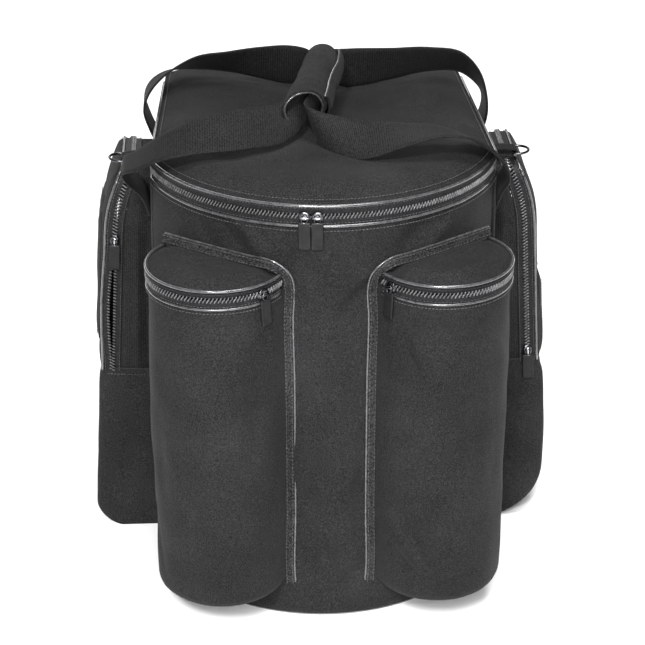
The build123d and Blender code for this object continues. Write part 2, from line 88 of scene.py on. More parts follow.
# ---- sizes of the sewing ---------------------------------------------------------------------
SIDE_SLOPE = 0.0449  # the side panels draw in towards the back
REAR_CORNER = 0.027
FOOT_ROUND = 0.011
SEAM_LAP = 0.0025  # how far the front and back covers reach past their corners
POCKET_RADIUS = 0.0665
POCKET_CHORD = -0.00815  # the pocket lid's straight edge
POCKET_ROUND = 0.012
FLANGE_BEARING = radians(13.15)  # from the bag's middle, round the bow
SIDE_HEIGHT = 0.422
SIDE_ZIP_FOOT = 0.194
SIDE_CORNER = 0.020
SIDE_CHAIN_DEPTH = 0.0115
SIDE_FACE_X = 0.2458  # of the face's foot
SIDE_FOOT_ROUND = {-1: 0.026, 1: 0.062}
ANCHOR_TOP = 0.399
WEBBING_WIDTH = 0.048
WEBBING = 0.0022
ALMOST_CLOSED = 0.9995  # the last ring of a disc, so small that it shows no hole


# ---- small maths -----------------------------------------------------------------------------
def unit(vectors):
    """The same vectors, each one long."""
    vectors = np.asarray(vectors, float)
    return vectors / np.maximum(np.linalg.norm(vectors, axis=-1, keepdims=True), 1e-12)


def ramp(value):
    return np.clip(value, 0, 1)


def ease(value):
    """0 to 1, starting and ending gently."""
    value = ramp(value)
    return value * value * (3 - 2 * value)


def lengths(points):
    """The distance along an open line of points, from 0."""
    steps = np.linalg.norm(np.diff(points[:, :3], axis=0), axis=1)
    return np.concatenate(([0.0], np.cumsum(steps)))


def evenly(points, count):
    """count points evenly spaced along an open line."""
    points = np.asarray(points, float)
    along = lengths(points)
    wanted = np.linspace(0, along[-1], count)
    return np.stack([np.interp(wanted, along, column) for column in points.T], axis=1)


def curve(points, count):
    """A smooth line through the given points, as count evenly spaced ones."""
    points = np.asarray(points, float)
    knots = lengths(points)
    slopes = np.gradient(points, knots, axis=0)
    dense = []
    for i, span in enumerate(np.diff(knots)):
        for t in np.linspace(0, 1, 24, endpoint=False):
            far = 3 * t**2 - 2 * t**3
            leave, arrive = t**3 - 2 * t**2 + t, t**3 - t**2
            place = (1 - far) * points[i] + far * points[i + 1]
            dense.append(place + span * (leave * slopes[i] + arrive * slopes[i + 1]))
    return evenly(np.array([*dense, points[-1]]), count)


def grain(points, scale, seed):
    """Smooth noise from -1 to 1, the same each run; scale is in bumps per metre, or one for each axis."""
    offset = Vector((seed * 7.31, seed * 3.7, seed))
    return np.array([noise.noise(Vector(p) + offset) for p in np.asarray(points, float) * scale])


def along_line(line, closed=False):
    """The unit direction of a line at each of its points."""
    if closed:
        return unit(np.roll(line, -1, axis=0) - np.roll(line, 1, axis=0))
    return unit(np.gradient(line, axis=0))


def at_height(points, z):
    return np.column_stack((points, np.full(len(points), z)))


def side_x(y, out=0.0):
    return HALF_WIDTH - SIDE_SLOPE * (y - CORNER_Y) + out


def shrink(edge, centre, share):
    """An outline drawn in towards its centre."""
    return centre + (edge - centre) * (1 - share)


# ---- meshes ----------------------------------------------------------------------------------
def add(name, data):
    """A new object in the scene."""
    made = bpy.data.objects.new(name, data)
    bpy.context.scene.collection.objects.link(made)
    return made


def make(name, vertices, faces, loops_uv, material, body, replaces=""):
    """A smooth mesh piece that rides on body; loops_uv holds metres along and across the cloth."""
    mesh = bpy.data.meshes.new(name)
    mesh.from_pydata([tuple(v) for v in vertices], [], faces)
    mesh.validate()
    if loops_uv:
        layer = mesh.uv_layers.new(name="cloth")
        layer.data.foreach_set("uv", np.asarray(loops_uv, np.float32).ravel())
    work = bmesh.new()
    work.from_mesh(mesh)
    bmesh.ops.recalc_face_normals(work, faces=work.faces)
    work.to_mesh(mesh)
    work.free()
    mesh.shade_smooth()
    piece = add(name, mesh)
    mesh.materials.append(material)
    if body:
        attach(piece, body)
    if replaces:
        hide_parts(*replaces.split())
    return piece


def grid(name, points, material, body, replaces="", form="tube"):
    """A quad grid through points[row, column].

    In a tube the rows go round and both ends are closed, in a ring the columns go round too, and
    in a pad each row is a closed outline.
    """
    points = np.asarray(points, float)
    rows, columns = points.shape[:2]
    middle_row, middle_column = points[rows // 2], points[:, columns // 2]
    u = lengths(np.vstack((middle_row, middle_row[:1])))
    v = lengths(np.vstack((middle_column, middle_column[:1])))
    faces, loops = [], []
    for r in range(rows - (form == "pad")):
        for c in range(columns - (form == "tube")):
            corners = ((r, c), (r, c + 1), (r + 1, c + 1), (r + 1, c))
            faces.append([(i % rows) * columns + j % columns for i, j in corners])
            loops += [(u[j], v[i]) for i, j in corners]
    for c in (0, columns - 1) if form == "tube" else ():
        for r in range(rows // 2 - 1):
            other = rows - 1 - r
            quad = (r, r + 1, other - 1, other)
            faces.append([i * columns + c for i in quad])
            loops += [(u[c], v[i]) for i in quad]
    return make(name, points.reshape(-1, 3), faces, loops, material, body, replaces)


def shell(name, outer, thickness, material, body, replaces="", closed=False):
    """A wall of even thickness behind the grid outer[row, column]."""
    outer = np.asarray(outer, float)
    normals = unit(np.cross(np.gradient(outer, axis=1), np.gradient(outer, axis=0)))
    both = np.concatenate((outer, (outer - normals * thickness)[::-1]))
    return grid(name, both, material, body, replaces, "ring" if closed else "tube")


def pad(name, under, shares, top, body, replaces):
    """A padded cover: its top's rows, over an underside that fans in to the middle of its edge."""
    middle = under.mean(axis=0)
    fan = [middle + (under - middle) * s for s in shares]
    grid(name, np.concatenate((fan, top)), FABRIC, body, replaces, "pad")


def tube(name, line, radius, material, body="bag", replaces="", closed=False):
    """A round cord or piping along a line."""
    line = np.asarray(line, float)
    along = along_line(line, closed)
    across = unit(np.cross(along, np.where(abs(along[:, 2:]) > 0.9, (0, 1, 0), (0, 0, 1))))
    second = np.cross(along, across)
    turns = np.arange(8) * pi / 4
    ring = [line + radius * (np.cos(t) * across + np.sin(t) * second) for t in turns]
    return grid(name, ring, material, body, replaces, "ring" if closed else "tube")


def ribbon(name, line, across, width, thickness, material, body, replaces="", closed=False, edge=0.0006):
    """Flat webbing or tape: line is its middle, across its width's direction at each point."""
    line = np.asarray(line, float)
    across = unit(np.broadcast_to(across, line.shape))
    face = unit(np.cross(along_line(line, closed), across))
    half, thick = width / 2, thickness / 2
    edge = min(thick, edge)
    steps = np.linspace(-1, 1, 9)
    profile = [(s * (half - edge), thick) for s in steps] + [(half, 0.4 * thick), (half, -0.4 * thick)]
    profile += [(s * (half - edge), -thick) for s in steps[::-1]]
    profile += [(-half, -0.4 * thick), (-half, 0.4 * thick)]
    ring = [line + across * np.reshape(a, (-1, 1)) + b * face for a, b in profile]
    return grid(name, ring, material, body, replaces, "ring" if closed else "tube")


def scatter(name, template, spots, material, body):
    """One mesh of many small copies: each spot is (place, 3 axes as columns)."""
    vertices, faces = np.array(template[0]), template[1]
    copies = np.concatenate([np.asarray(place) + vertices @ np.asarray(axes) for place, axes in spots])
    numbered = [[i * len(vertices) + k for k in face] for i in range(len(spots)) for face in faces]
    return make(name, copies, numbered, None, material, body)


def lozenge(length, width, height):
    """A small rounded bar along X: its vertices and faces."""
    rings = ((-0.5, 0.35), (-0.38, 0.85), (0, 1.0), (0.38, 0.85), (0.5, 0.35))
    corners = ((1, 0.45), (0.45, 1), (-0.45, 1), (-1, 0.45), (-1, -0.45), (-0.45, -1), (0.45, -1), (1, -0.45))
    vertices = [(x * length, a * s * width / 2, b * s * height / 2) for x, s in rings for a, b in corners]
    n = len(corners)
    faces = [
        [r * n + k, r * n + (k + 1) % n, (r + 1) * n + (k + 1) % n, (r + 1) * n + k]
        for r in range(len(rings) - 1)
        for k in range(n)
    ]
    faces += [list(range(n)), list(range((len(rings) - 1) * n, len(rings) * n))]
    return vertices, faces


def stitches(name, line, outward, body="bag", pitch=0.0034, length=0.0024):
    """A row of thread stitches along a line, lying on a surface that faces outward."""
    line = np.asarray(line, float)
    count = max(2, int(lengths(line)[-1] / pitch))
    both = evenly(np.hstack((line, np.broadcast_to(outward, line.shape))), count)
    places, out = both[:, :3], unit(both[:, 3:])
    sides = zip(places + out * 0.0002, out, along_line(places))
    spots = [(place, (t, unit(np.cross(o, t)), o)) for place, o, t in sides]
    scatter(name, lozenge(length, 0.0008, 0.0007), spots, THREAD, body)


# ---- materials -------------------------------------------------------------------------------
def node(tree, kind, *values, **named):
    """A shader node whose inputs or properties take a value, or a link where one is given a socket."""
    made = tree.nodes.new(kind)
    for key, value in (*enumerate(values), *named.items()):
        if isinstance(value, bpy.types.NodeSocket):
            tree.links.new(value, made.inputs[key])
        elif isinstance(key, int) or key in made.inputs:
            made.inputs[key].default_value = value
        else:
            setattr(made, key, value)
    return made


def maths(tree, operation, *values):
    return node(tree, "ShaderNodeMath", *values, operation=operation).outputs[0]


def blank_material(name, roughness, metallic=0.0, sheen=0.0, coat=0.0, specular=0.5):
    """A new material with its node tree and its shader."""
    material = bpy.data.materials.new(name)
    material.use_nodes = True
    shader = material.node_tree.nodes["Principled BSDF"]
    for socket, value in (
        ("Roughness", roughness), ("Metallic", metallic), ("Sheen Weight", sheen), ("Sheen Roughness", 0.45),
        ("Coat Weight", coat), ("Specular IOR Level", specular),
    ):
        shader.inputs[socket].default_value = value
    return material, material.node_tree, shader


def finish_surface(tree, shader, colour, dark, light, low, high, height, strength, distance):
    """Colour from dark to light between two levels of colour, and relief from height."""
    shades = node(tree, "ShaderNodeValToRGB", Fac=colour)
    for stop, position, shade in zip(shades.color_ramp.elements, (low, high), (dark, light)):
        stop.position, stop.color = position, (*shade, 1)
    tree.links.new(shades.outputs["Color"], shader.inputs["Base Color"])
    relief = node(tree, "ShaderNodeBump", Strength=strength, Distance=distance, Height=height)
    tree.links.new(relief.outputs["Normal"], shader.inputs["Normal"])


def cloth(name, dark, light, pitch, roughness, sheen, mottle=650.0, bump=0.25, ribbed=False):
    """Woven cloth: crossed threads, or ribs alone for webbing, with fine and broad mottling."""
    material, tree, shader = blank_material(name, roughness, sheen=sheen, specular=0.09)
    coords = node(tree, "ShaderNodeTexCoord").outputs

    def speckle(scale, detail, rough):
        place = coords["Object"]
        return node(tree, "ShaderNodeTexNoise", Scale=scale, Detail=detail, Roughness=rough, Vector=place)

    def threads(axis):
        """Fine parallel ribs, one for each thread, across U or V of the cloth."""
        wave = node(tree, "ShaderNodeTexWave", Vector=coords["UV"], bands_direction=axis, wave_profile="SIN")
        for socket, value in (("Scale", 0.314 / pitch), ("Distortion", 0.6), ("Detail", 0.0)):
            wave.inputs[socket].default_value = value
        return wave.outputs["Fac"]

    weave = threads("X") if ribbed else maths(tree, "MULTIPLY", threads("X"), threads("Y"))
    fine = maths(tree, "MULTIPLY_ADD", weave, 0.22, speckle(mottle, 2.0, 0.6).outputs["Fac"])
    both = maths(tree, "MULTIPLY_ADD", speckle(14.0, 3.0, 0.5).outputs["Fac"], 0.26, fine)
    finish_surface(tree, shader, both, dark, light, 0.575, 0.865, fine, bump, 0.0004)
    return material


def moulded(name, dark, light, roughness, metallic=0.0, coat=0.0, specular=0.5):
    """Plastic or metal with slight wear in its colour and surface."""
    material, tree, shader = blank_material(name, roughness, metallic, coat=coat, specular=specular)
    place = node(tree, "ShaderNodeTexCoord").outputs["Object"]
    noise_node = node(tree, "ShaderNodeTexNoise", Scale=180.0, Detail=4.0, Roughness=0.6, Vector=place)
    wear = noise_node.outputs["Fac"]
    finish_surface(tree, shader, wear, dark, light, 0.35, 0.65, wear, 0.05, 0.0003)
    return material


# Each cloth: dark and light colour, thread pitch, roughness, sheen, mottling per metre and relief.
FABRIC = cloth(
    "woven_polyester", (0.005, 0.005, 0.0052), (0.0255, 0.0255, 0.026), 0.0011, 0.78, 0.02, 820, 1.0
)
FLANGE = cloth("bound_seam", (0.003, 0.003, 0.0031), (0.043, 0.043, 0.044), 0.0012, 0.75, 0.05, 620, 1.0)
STRAP = cloth(
    "ribbed_webbing", (0.003, 0.003, 0.0031), (0.0142, 0.0142, 0.0146), 0.0024, 0.66, 0.02, 600, 0.9, True
)
BINDING = cloth("edge_binding", (0.006, 0.006, 0.0063), (0.026, 0.026, 0.027), 0.001, 0.45, 0.03)
LINING = cloth("plain_lining", (0.04, 0.04, 0.042), (0.085, 0.085, 0.09), 0.0007, 0.7, 0.1)
TAPE = cloth("zip_tape", (0.006, 0.006, 0.0063), (0.020, 0.020, 0.021), 0.0008, 0.45, 0.03)
THREAD = cloth("sewing_thread", (0.035, 0.035, 0.036), (0.10, 0.10, 0.102), 0.0004, 0.45, 0.05)
PIPING = moulded("glossy_piping", (0.022, 0.022, 0.023), (0.055, 0.055, 0.057), 0.26, coat=0.8)
COIL = moulded("nylon_coil", (0.035, 0.035, 0.036), (0.11, 0.11, 0.112), 0.34, coat=0.2)
GUNMETAL = moulded("gunmetal", (0.045, 0.045, 0.048), (0.12, 0.12, 0.125), 0.22, 1.0)
BRIGHT = moulded("bright_steel", (0.5, 0.5, 0.52), (0.75, 0.75, 0.78), 0.2, 1.0)
COATED = moulded("coated_puller", (0.0035, 0.0035, 0.0037), (0.010, 0.010, 0.0104), 0.42, specular=0.2)
FOAM = moulded("closed_cell_foam", (0.12, 0.12, 0.125), (0.2, 0.2, 0.205), 0.9)
BOARD = moulded("stiffener_board", (0.1, 0.1, 0.1), (0.16, 0.16, 0.16), 0.7)


# ---- camera, floor and light -----------------------------------------------------------------
CAMERA_PLACE = (-0.1024, -2.0083, 1.2222)
CAMERA_FORWARD = (0.046726, 0.897579, -0.438371)
CAMERA_TURN = radians(2.98)
LENS, SENSOR = 117.21, 36
FLOOR_HALF = 40
KEY_FROM = (-0.22, -1.0, 0.98)
LAMPS = (  # name, place, aim, size and power
    ("near_box", (-0.05, -1.35, 0.78), (0, -0.1, 0.25), 0.45, 19),
    ("top_box", (0.4, -0.6, 2.4), (0, 0, 0.4), 0.7, 46),
    ("rear_box", (-0.5, 2.6, 2.2), (0, 0, 0.3), 1.8, 26),
)


def add_lamp(name, kind, energy, place, target):
    lamp = add(name, bpy.data.lights.new(name, kind))
    lamp.data.energy = energy
    lamp.location = place
    lamp.rotation_euler = (Vector(target) - Vector(place)).to_track_quat("-Z", "Y").to_euler()
    return lamp


def stage_and_camera():
    """The viewing angle, a plain pale floor and soft studio light."""
    camera = add("camera", bpy.data.cameras.new("camera"))
    forward = Vector(CAMERA_FORWARD)
    right = Vector((cos(CAMERA_TURN), -sin(CAMERA_TURN), 0))
    axes = Matrix((right, right.cross(forward), -forward)).transposed()
    camera.matrix_world = Matrix.Translation(CAMERA_PLACE) @ axes.to_4x4()
    camera.data.lens, camera.data.sensor_width = LENS, SENSOR
    bpy.context.scene.camera = camera

    pale, _, shader = blank_material("pale_floor", 0.8)
    shader.inputs["Base Color"].default_value = (0.93, 0.93, 0.93, 1)
    mesh = bpy.data.meshes.new("floor")
    corners = [(x * FLOOR_HALF, y * FLOOR_HALF, 0) for x, y in ((-1, -1), (1, -1), (1, 1), (-1, 1))]
    mesh.from_pydata(corners, [], [(0, 1, 2, 3)])
    mesh.materials.append(pale)
    add("floor", mesh)

    world = bpy.data.worlds.new("studio")
    world.use_nodes = True
    world.node_tree.nodes["Background"].inputs["Color"].default_value = (1, 1, 1, 1)
    world.node_tree.nodes["Background"].inputs["Strength"].default_value = 0.22
    bpy.context.scene.world = world
    add_lamp("key", "SUN", 3.6, KEY_FROM, (0, 0, 0)).data.angle = radians(10)
    for name, place, target, size, power in LAMPS:
        add_lamp(name, "AREA", power, place, target).data.size = size
    bpy.context.scene.view_settings.view_transform = "Standard"


stage_and_camera()


# ---- the bag's outline -----------------------------------------------------------------------
def outline(count=480, inset=0.0):
    """The bag's plan as evenly spaced points, from the middle of the back round by the left side."""
    centre_y = REAR_Y - REAR_CORNER
    centre_x = side_x(centre_y) - REAR_CORNER * hypot(1, SIDE_SLOPE)
    corner = np.linspace(pi / 2, atan2(SIDE_SLOPE, 1), 16)
    right = [(centre_x + REAR_CORNER * cos(t), centre_y + REAR_CORNER * sin(t)) for t in corner]
    edge = atan2(CORNER_Y - BOW_Y, HALF_WIDTH)
    bow = [(BOW_RADIUS * cos(t), BOW_Y + BOW_RADIUS * sin(t)) for t in np.linspace(-pi - edge, edge, 90)]
    left = [(-x, y) for x, y in right]
    points = evenly([(0, REAR_Y), *left, *bow, *right[::-1], (0, REAR_Y)], count + 1)[:-1]
    along = along_line(points, closed=True)
    normals = np.stack((along[:, 1], -along[:, 0]), axis=1)
    return points - normals * inset, normals


PLAN, PLAN_NORMALS = outline()
SKIN_OUT = at_height(PLAN_NORMALS, 0)


def stretch(keep):
    """The indices of one unbroken stretch of the outline, in order."""
    chosen = np.flatnonzero(keep)
    breaks = np.flatnonzero(np.diff(chosen) > 1)
    return np.roll(chosen, -(breaks[0] + 1)) if len(breaks) else chosen


def wall_rows(foot, top, rounding, rows):
    """(inset, z) up a wall from its rounded foot to its top."""
    bend = [(rounding * (1 - sin(t)), foot + rounding * (1 - cos(t))) for t in np.linspace(0, pi / 2, 7)]
    return bend + [(0.0, z) for z in np.linspace(foot + rounding, top, rows)[1:]]


def crease(place, start, end, width, depth):
    """How far a pulled fold between two places lifts or sinks the cloth, in 2-D cloth coordinates."""
    start, end = np.array(start), np.array(end)
    run = end - start
    t = ramp(((place - start) @ run) / (run @ run))
    gap = np.linalg.norm(place - (start + t[..., None] * run), axis=-1)
    return depth * np.exp(-((gap / width) ** 2)) * (0.25 + 0.75 * np.sin(pi * (0.1 + 0.8 * t)))


def creases(place, folds):
    """All of the folds together; each is two ends, a width and a depth, in thousandths."""
    total = np.zeros(len(place))
    for x, y, far_x, far_y, width, depth in np.array(folds) / 1000:
        total += crease(place, (x, y), (far_x, far_y), width, depth)
    return total


# ---- body covers -----------------------------------------------------------------------------
FRONT_FOLDS = (  # across and up, between the lid's zip and the two bottle lids
    (-60, 402, -85, 436, 8, 4.6), (-45, 396, -38, 430, 8, -4.0), (-78, 408, -110, 434, 7, -3.4),
    (-110, 404, -132, 434, 6, -3.4), (-30, 384, -10, 352, 10, 3.0), (40, 380, 10, 345, 7, -4.4),
    (46, 394, 14, 372, 6, 4.0), (50, 404, 30, 430, 7, -3.6), (70, 410, 95, 434, 9, -4.0),
    (98, 408, 128, 434, 7, 3.8), (-34, 330, -26, 120, 7, 2.0), (34, 260, 24, 80, 8, -2.2),
    (36, 60, 8, 40, 8, -3.6), (30, 90, 12, 60, 9, 3.0),
)


def body_wall(panel, keep, folds, seed):
    """A padded wall panel over one stretch of the outline."""
    chosen = stretch(keep)
    places, normals = PLAN[chosen], SKIN_OUT[chosen]
    across = np.linspace(0, 1, len(chosen))
    rows = []
    for inset, z in wall_rows(0.0005, BODY_TOP, FOOT_ROUND, 124):
        row = at_height(places, z)
        height = sin(pi * min(1, z / BODY_TOP))
        fullness = 0.0030 * np.sin(pi * across) ** 0.5 * height**0.6
        ripple = 0.0034 * grain(row, (9, 9, 6), seed) + 0.0022 * grain(row, (26, 26, 14), seed + 3)
        lift = fullness + ripple * height**0.5 + creases(row[:, ::2], folds)
        rows.append(row + normals * (lift - inset)[:, None])
    replaces = f"{panel}_panel {panel}_foam"
    shell(f"{panel}_cover", rows, 0.0028, FABRIC, "bag", replaces)


BETWEEN = (PLAN[:, 1] > CORNER_Y) & (PLAN[:, 1] < SIDE_END_Y)
body_wall("front", PLAN[:, 1] <= CORNER_Y + SEAM_LAP, FRONT_FOLDS, 1)
body_wall("left", BETWEEN & (PLAN[:, 0] < 0), (), 2)
body_wall("right", BETWEEN & (PLAN[:, 0] > 0), (), 3)
body_wall("back", PLAN[:, 1] >= SIDE_END_Y - SEAM_LAP, (), 4)


def panel_seams():
    """Piping where the body's panels meet, round the foot, and the bound rim inside the mouth."""
    for side, word in SIDES.items():
        for label, y in (("front", CORNER_Y), ("rear", SIDE_END_Y)):
            line = [(side * side_x(y, 0.0012), y, z) for z in np.linspace(0.010, BODY_TOP, 60)]
            tube(f"{word}_{label}_piping", line, 0.0017, BINDING)
    low, _ = outline(360, 0.0035)
    tube("foot_piping", at_height(low, 0.0042), 0.0021, BINDING, closed=True)
    rim, normals = outline(360, 0.0055)
    line = at_height(rim, BODY_TOP - 0.002)
    ribbon("mouth_rim", line, at_height(normals, 0), 0.0095, 0.003, BINDING, "bag", closed=True)


panel_seams()


def flat_disc(name, inset, z, sag, material, replaces, seed):
    """A cloth disc over the whole plan, drawn as rings shrinking to the middle."""
    edge, _ = outline(240, inset)
    centre = np.array((0.0, edge[:, 1].mean()))
    rows = []
    for s in np.linspace(1, 0.02, 14):
        ring = centre + (edge - centre) * s
        ripple = 0.0008 * grain(at_height(ring, z), 16, seed) * (1 - s**4)
        rows.append(np.column_stack((ring, z + (sag * (1 - s**2) + ripple))))
    rows = np.array(rows)
    grid(name, np.concatenate((rows, (rows - UP * 0.0016)[::-1])), material, "bag", replaces, "ring")


flat_disc("base_cover", FOOT_ROUND, 0.0030, -0.0004, FABRIC, "base_panel", 11)


def compartment():
    """The lining of the main compartment: a floor and a soft wall just inside the foam."""
    edge, normals = outline(240, 0.0092)
    rows = []
    for z in np.linspace(0.0075, BODY_TOP - 0.003, 40):
        row = at_height(edge, z)
        rows.append(row + at_height(normals, 0) * 0.0011 * grain(row, (18, 18, 9), 21)[:, None])
    shell("compartment_wall_lining", rows, 0.0008, LINING, "bag", closed=True)
    flat_disc("compartment_floor_lining", 0.0098, 0.0086, 0.0006, LINING, "compartment_lining", 22)


compartment()


# ---- zips ------------------------------------------------------------------------------------
TOOTH = lozenge(0.0036, 0.0013, 0.0022)
TOOTH_PITCH = 0.0035
TOOTH_SLANT = 0.42
SKIN_GAP = 0.0006  # from the skin out to a chain's middle


def zip_half(name, line, outward, chain, body, sign, part=0.0):
    """One half of a zip: a tape beside the chain and its row of nylon teeth.

    line is the chain's middle, outward the cloth's normal and chain the direction across the zip
    towards this half. sign slants the teeth; part moves this half off the chain's middle.
    """
    outward, chain = (np.array(np.broadcast_to(a, line.shape), float) for a in (outward, chain))
    line = line + chain * np.broadcast_to(part, len(line))[:, None]
    middle = line + chain * 0.0051 - outward * 0.0008
    ribbon(f"{name}_half_tape", middle, chain, 0.0078, 0.0012, TAPE, body, name)
    stitches(f"{name}_half_stitching", line + chain * 0.0074 + outward * 0.0001, outward, body)
    row = np.hstack((line + chain * 0.0012 + outward * 0.0010, outward, chain))
    row = evenly(row, int(lengths(row)[-1] / TOOTH_PITCH))
    places, spots = row[:, :3], []
    for place, out, to_side, along in zip(places, unit(row[:, 3:6]), unit(row[:, 6:]), along_line(places)):
        slanted = unit(to_side + TOOTH_SLANT * sign * along)
        step = along * TOOTH_PITCH * 0.5 * (sign > 0)
        spots.append((place + step, (slanted, unit(np.cross(out, slanted)), out)))
    scatter(f"{name}_half_teeth", TOOTH, spots, COIL, body)


def slider(name, place, along, outward, down=(0, 0, -1), tilt=0.0):
    """A gunmetal slider with its bail, and a flat coated pull hanging from it."""
    place, along, outward = Vector(place), Vector(along).normalized(), Vector(outward).normalized()
    axes = Matrix((along, outward.cross(along), outward)).transposed()

    def world(points):
        return [place + axes @ Vector(p) for p in points]

    def plate(label, level, thick, length, width, replaces=""):
        """A rounded plate, drawn in at the nose."""
        turns = np.arange(28) * 2 * pi / 28
        x, y = np.cos(turns), np.sin(turns)
        pinch = 1 - 0.22 * np.maximum(0, x)
        x = abs(x) ** 0.7 * np.sign(x) * length / 2
        y = abs(y) ** 0.6 * np.sign(y) * width / 2 * pinch
        profile = ((0.05, 0), (0.7, 0), (0.95, 0), (1, 0.25), (1, 0.75), (0.93, 1), (0.6, 1.12), (0.05, 1.15))
        rows = [world(at_height(np.column_stack((x, y)) * inset, level + z * thick)) for inset, z in profile]
        grid(f"{name}_{label}", rows, GUNMETAL, name, replaces, "pad")

    plate("body", 0.0016, 0.0019, 0.0112, 0.0100, name)
    plate("back", -0.0042, 0.0014, 0.0112, 0.0098)
    tube(f"{name}_neck", evenly(world([(0.0035, 0, -0.003), (0.0035, 0, 0.002)]), 4), 0.0009, GUNMETAL, name)
    arch = ((-0.0040, 0.0034), (-0.0034, 0.0056), (0, 0.0066), (0.0034, 0.0056), (0.0042, 0.0034))
    bail = curve(world([(x, 0, z) for x, z in arch]), 22)
    tube(f"{name}_bail", bail, 0.0009, GUNMETAL if "bottle" in name else BRIGHT, name)

    puller = name.replace("slider", "puller")
    hang = (Matrix.Rotation(radians(tilt), 3, outward) @ Vector(down).normalized()).normalized()
    sideways = outward.cross(hang).normalized()
    top = place + outward * 0.0046
    loop = []
    for t in np.arange(24) * 2 * pi / 24:
        drop = hang * (0.0022 + 0.0036 * sin(t)) + outward * 0.0004 * sin(t)
        loop.append(top + sideways * 0.0029 * cos(t) + drop)
    tube(f"{name}_ring", loop, 0.0007, GUNMETAL, puller, closed=True)
    puller_tab(puller, *(np.array(v) for v in (top + hang * 0.0052, hang, sideways, outward)))


def puller_tab(name, start, hang, sideways, outward):
    """The flat pull: a bar with rounded corners and softened edges."""
    length, width, thick, corner = 0.0275, 0.0118, 0.0021, 0.0012

    def layer(level, shrink, share=1.0):
        """One outline of the bar, share of its full size."""
        middle = start + hang * length / 2 + outward * level * thick
        ring = []
        for quarter, (sx, sy) in enumerate(((1, 1), (-1, 1), (-1, -1), (1, -1))):
            for t in quarter * pi / 2 + np.arange(5) * pi / 8:
                x = sx * (width / 2 - corner) + (corner - shrink * 0.6) * cos(t)
                y = sy * (length / 2 - corner) + (corner - shrink * 0.6) * sin(t)
                ring.append(middle + (sideways * x + hang * y) * share)
        return ring

    soft = 0.0011
    rows = [layer(-0.5, soft, 0.018), layer(-0.5, soft, 0.9), layer(-0.5, soft), layer(-0.28, 0)]
    rows += [layer(0.28, 0), layer(0.5, soft), layer(0.5, soft, 0.9), layer(0.5, soft, 0.018)]
    grid(f"{name}_tab", rows, COATED, name, name, "pad")


# ---- main zip and lid ------------------------------------------------------------------------
LID_FOLDS = (
    (-135, -70, -85, -100, 10, -3.4), (120, -80, 150, -30, 10, -3.6), (-20, -175, 60, -150, 14, 2.2),
    (-110, -150, -50, -190, 12, -2.2), (-100, 150, 50, 165, 12, -2.4), (-60, 90, -130, 120, 12, 2.2),
    (60, 100, 120, 150, 14, -2.2), (10, -40, 90, -60, 16, -2.2),
)


def main_zip():
    chosen = stretch(PLAN[:, 1] <= ZIP_END_Y)
    out = SKIN_OUT[chosen]
    line = at_height(PLAN[chosen], CHAIN_Z) + out * SKIN_GAP
    zip_half("main_zip_lower", line, out, -UP, "bag", -1)
    zip_half("main_zip_upper", line, out, UP, "lid", 1)
    tube("body_mouth_piping", line - UP * 0.0102 + out * 0.0008, 0.0017, PIPING)
    tube("lid_edge_piping", line + UP * 0.0100 + out * 0.0008, 0.0017, PIPING, "lid", "lid_binding")
    stitches("body_mouth_stitching", line - UP * 0.0148 + out * 0.0022, out)


def main_sliders():
    """Two sliders, nose to nose, a little left of the middle."""
    for side, word in SIDES.items():
        low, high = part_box(f"{word}_main_slider")
        middle = (low + high) / 2
        bearing = atan2(middle.y - BOW_Y, middle.x)
        outward = Vector((cos(bearing), sin(bearing), 0))
        along = Vector((-sin(bearing), cos(bearing), 0)) * -side
        place = Vector((0, BOW_Y, CHAIN_Z)) + outward * (BOW_RADIUS + SKIN_GAP)
        slider(f"{word}_main_slider", place, along, outward)


def crown(edge, z_edge, z_top, count, seed, ripple, slump=0.0, folds=()):
    """Rings of a puffed cloth disc, from its seam to its middle."""
    centre = np.array((0.0, -0.005))
    rows = []
    for s in (*np.linspace(0, 0.97, count), ALMOST_CLOSED):
        ring = shrink(edge, centre, s)
        flat = at_height(ring, 0)
        depth = np.linalg.norm(edge - ring, axis=1)
        puff = 1 - ramp(1 - depth / 0.045) ** 2.6
        soft = grain(flat, 11, seed) + 0.5 * grain(flat, 27, seed + 1)
        lift = (z_top - z_edge) * puff - slump * ease(s * 1.4) + ripple * soft * ramp(depth / 0.03)
        lift = lift + creases(ring, folds) * ramp(depth / 0.02)
        rows.append(np.column_stack((ring, z_edge + lift)))
    return np.array(rows)


def main_lid():
    edge, _ = outline(300, 0.0008)
    top = crown(edge, LID_SEAM + 0.0004, LID_TOP + 0.0015, 34, 31, 0.0024, 0.0025, LID_FOLDS)
    under = crown(edge, LID_SEAM - 0.0006, LID_SEAM - 0.0026, 12, 33, 0.0004)
    both = np.concatenate((under[::-1], top))
    grid("lid_cover", both, FABRIC, "lid", "lid_panel lid_foam", "pad")
    sag = crown(outline(300, 0.004)[0], LID_SEAM - 0.0016, LID_SEAM - 0.0040, 20, 34, 0.0006)
    both = np.concatenate((sag, (sag + UP * 0.0007)[::-1]))
    grid("lid_inner_lining", both, LINING, "lid", "lid_lining", "ring")
    seam, _ = outline(300, 0.0045)
    stitches("lid_stitching", at_height(seam, LID_SEAM + 0.0052)[4:-4], UP, "lid")


def lid_hinge():
    """The fabric behind the zip's ends; it rides on no body, so it stays put as the lid opens."""
    chosen = stretch(PLAN[:, 1] >= ZIP_END_Y - 0.003)
    low, high = BODY_TOP - 0.004, LID_SEAM + 0.0015
    rows = []
    for z in np.linspace(low, high, 12):
        sink = 0.0012 * sin(pi * (z - low) / (high - low))
        rows.append(at_height(PLAN[chosen], z) + SKIN_OUT[chosen] * (0.0012 - sink))
    piece = shell("lid_hinge_cloth", rows, 0.0016, FABRIC, None)
    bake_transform(piece)


main_zip()
main_sliders()
main_lid()
lid_hinge()


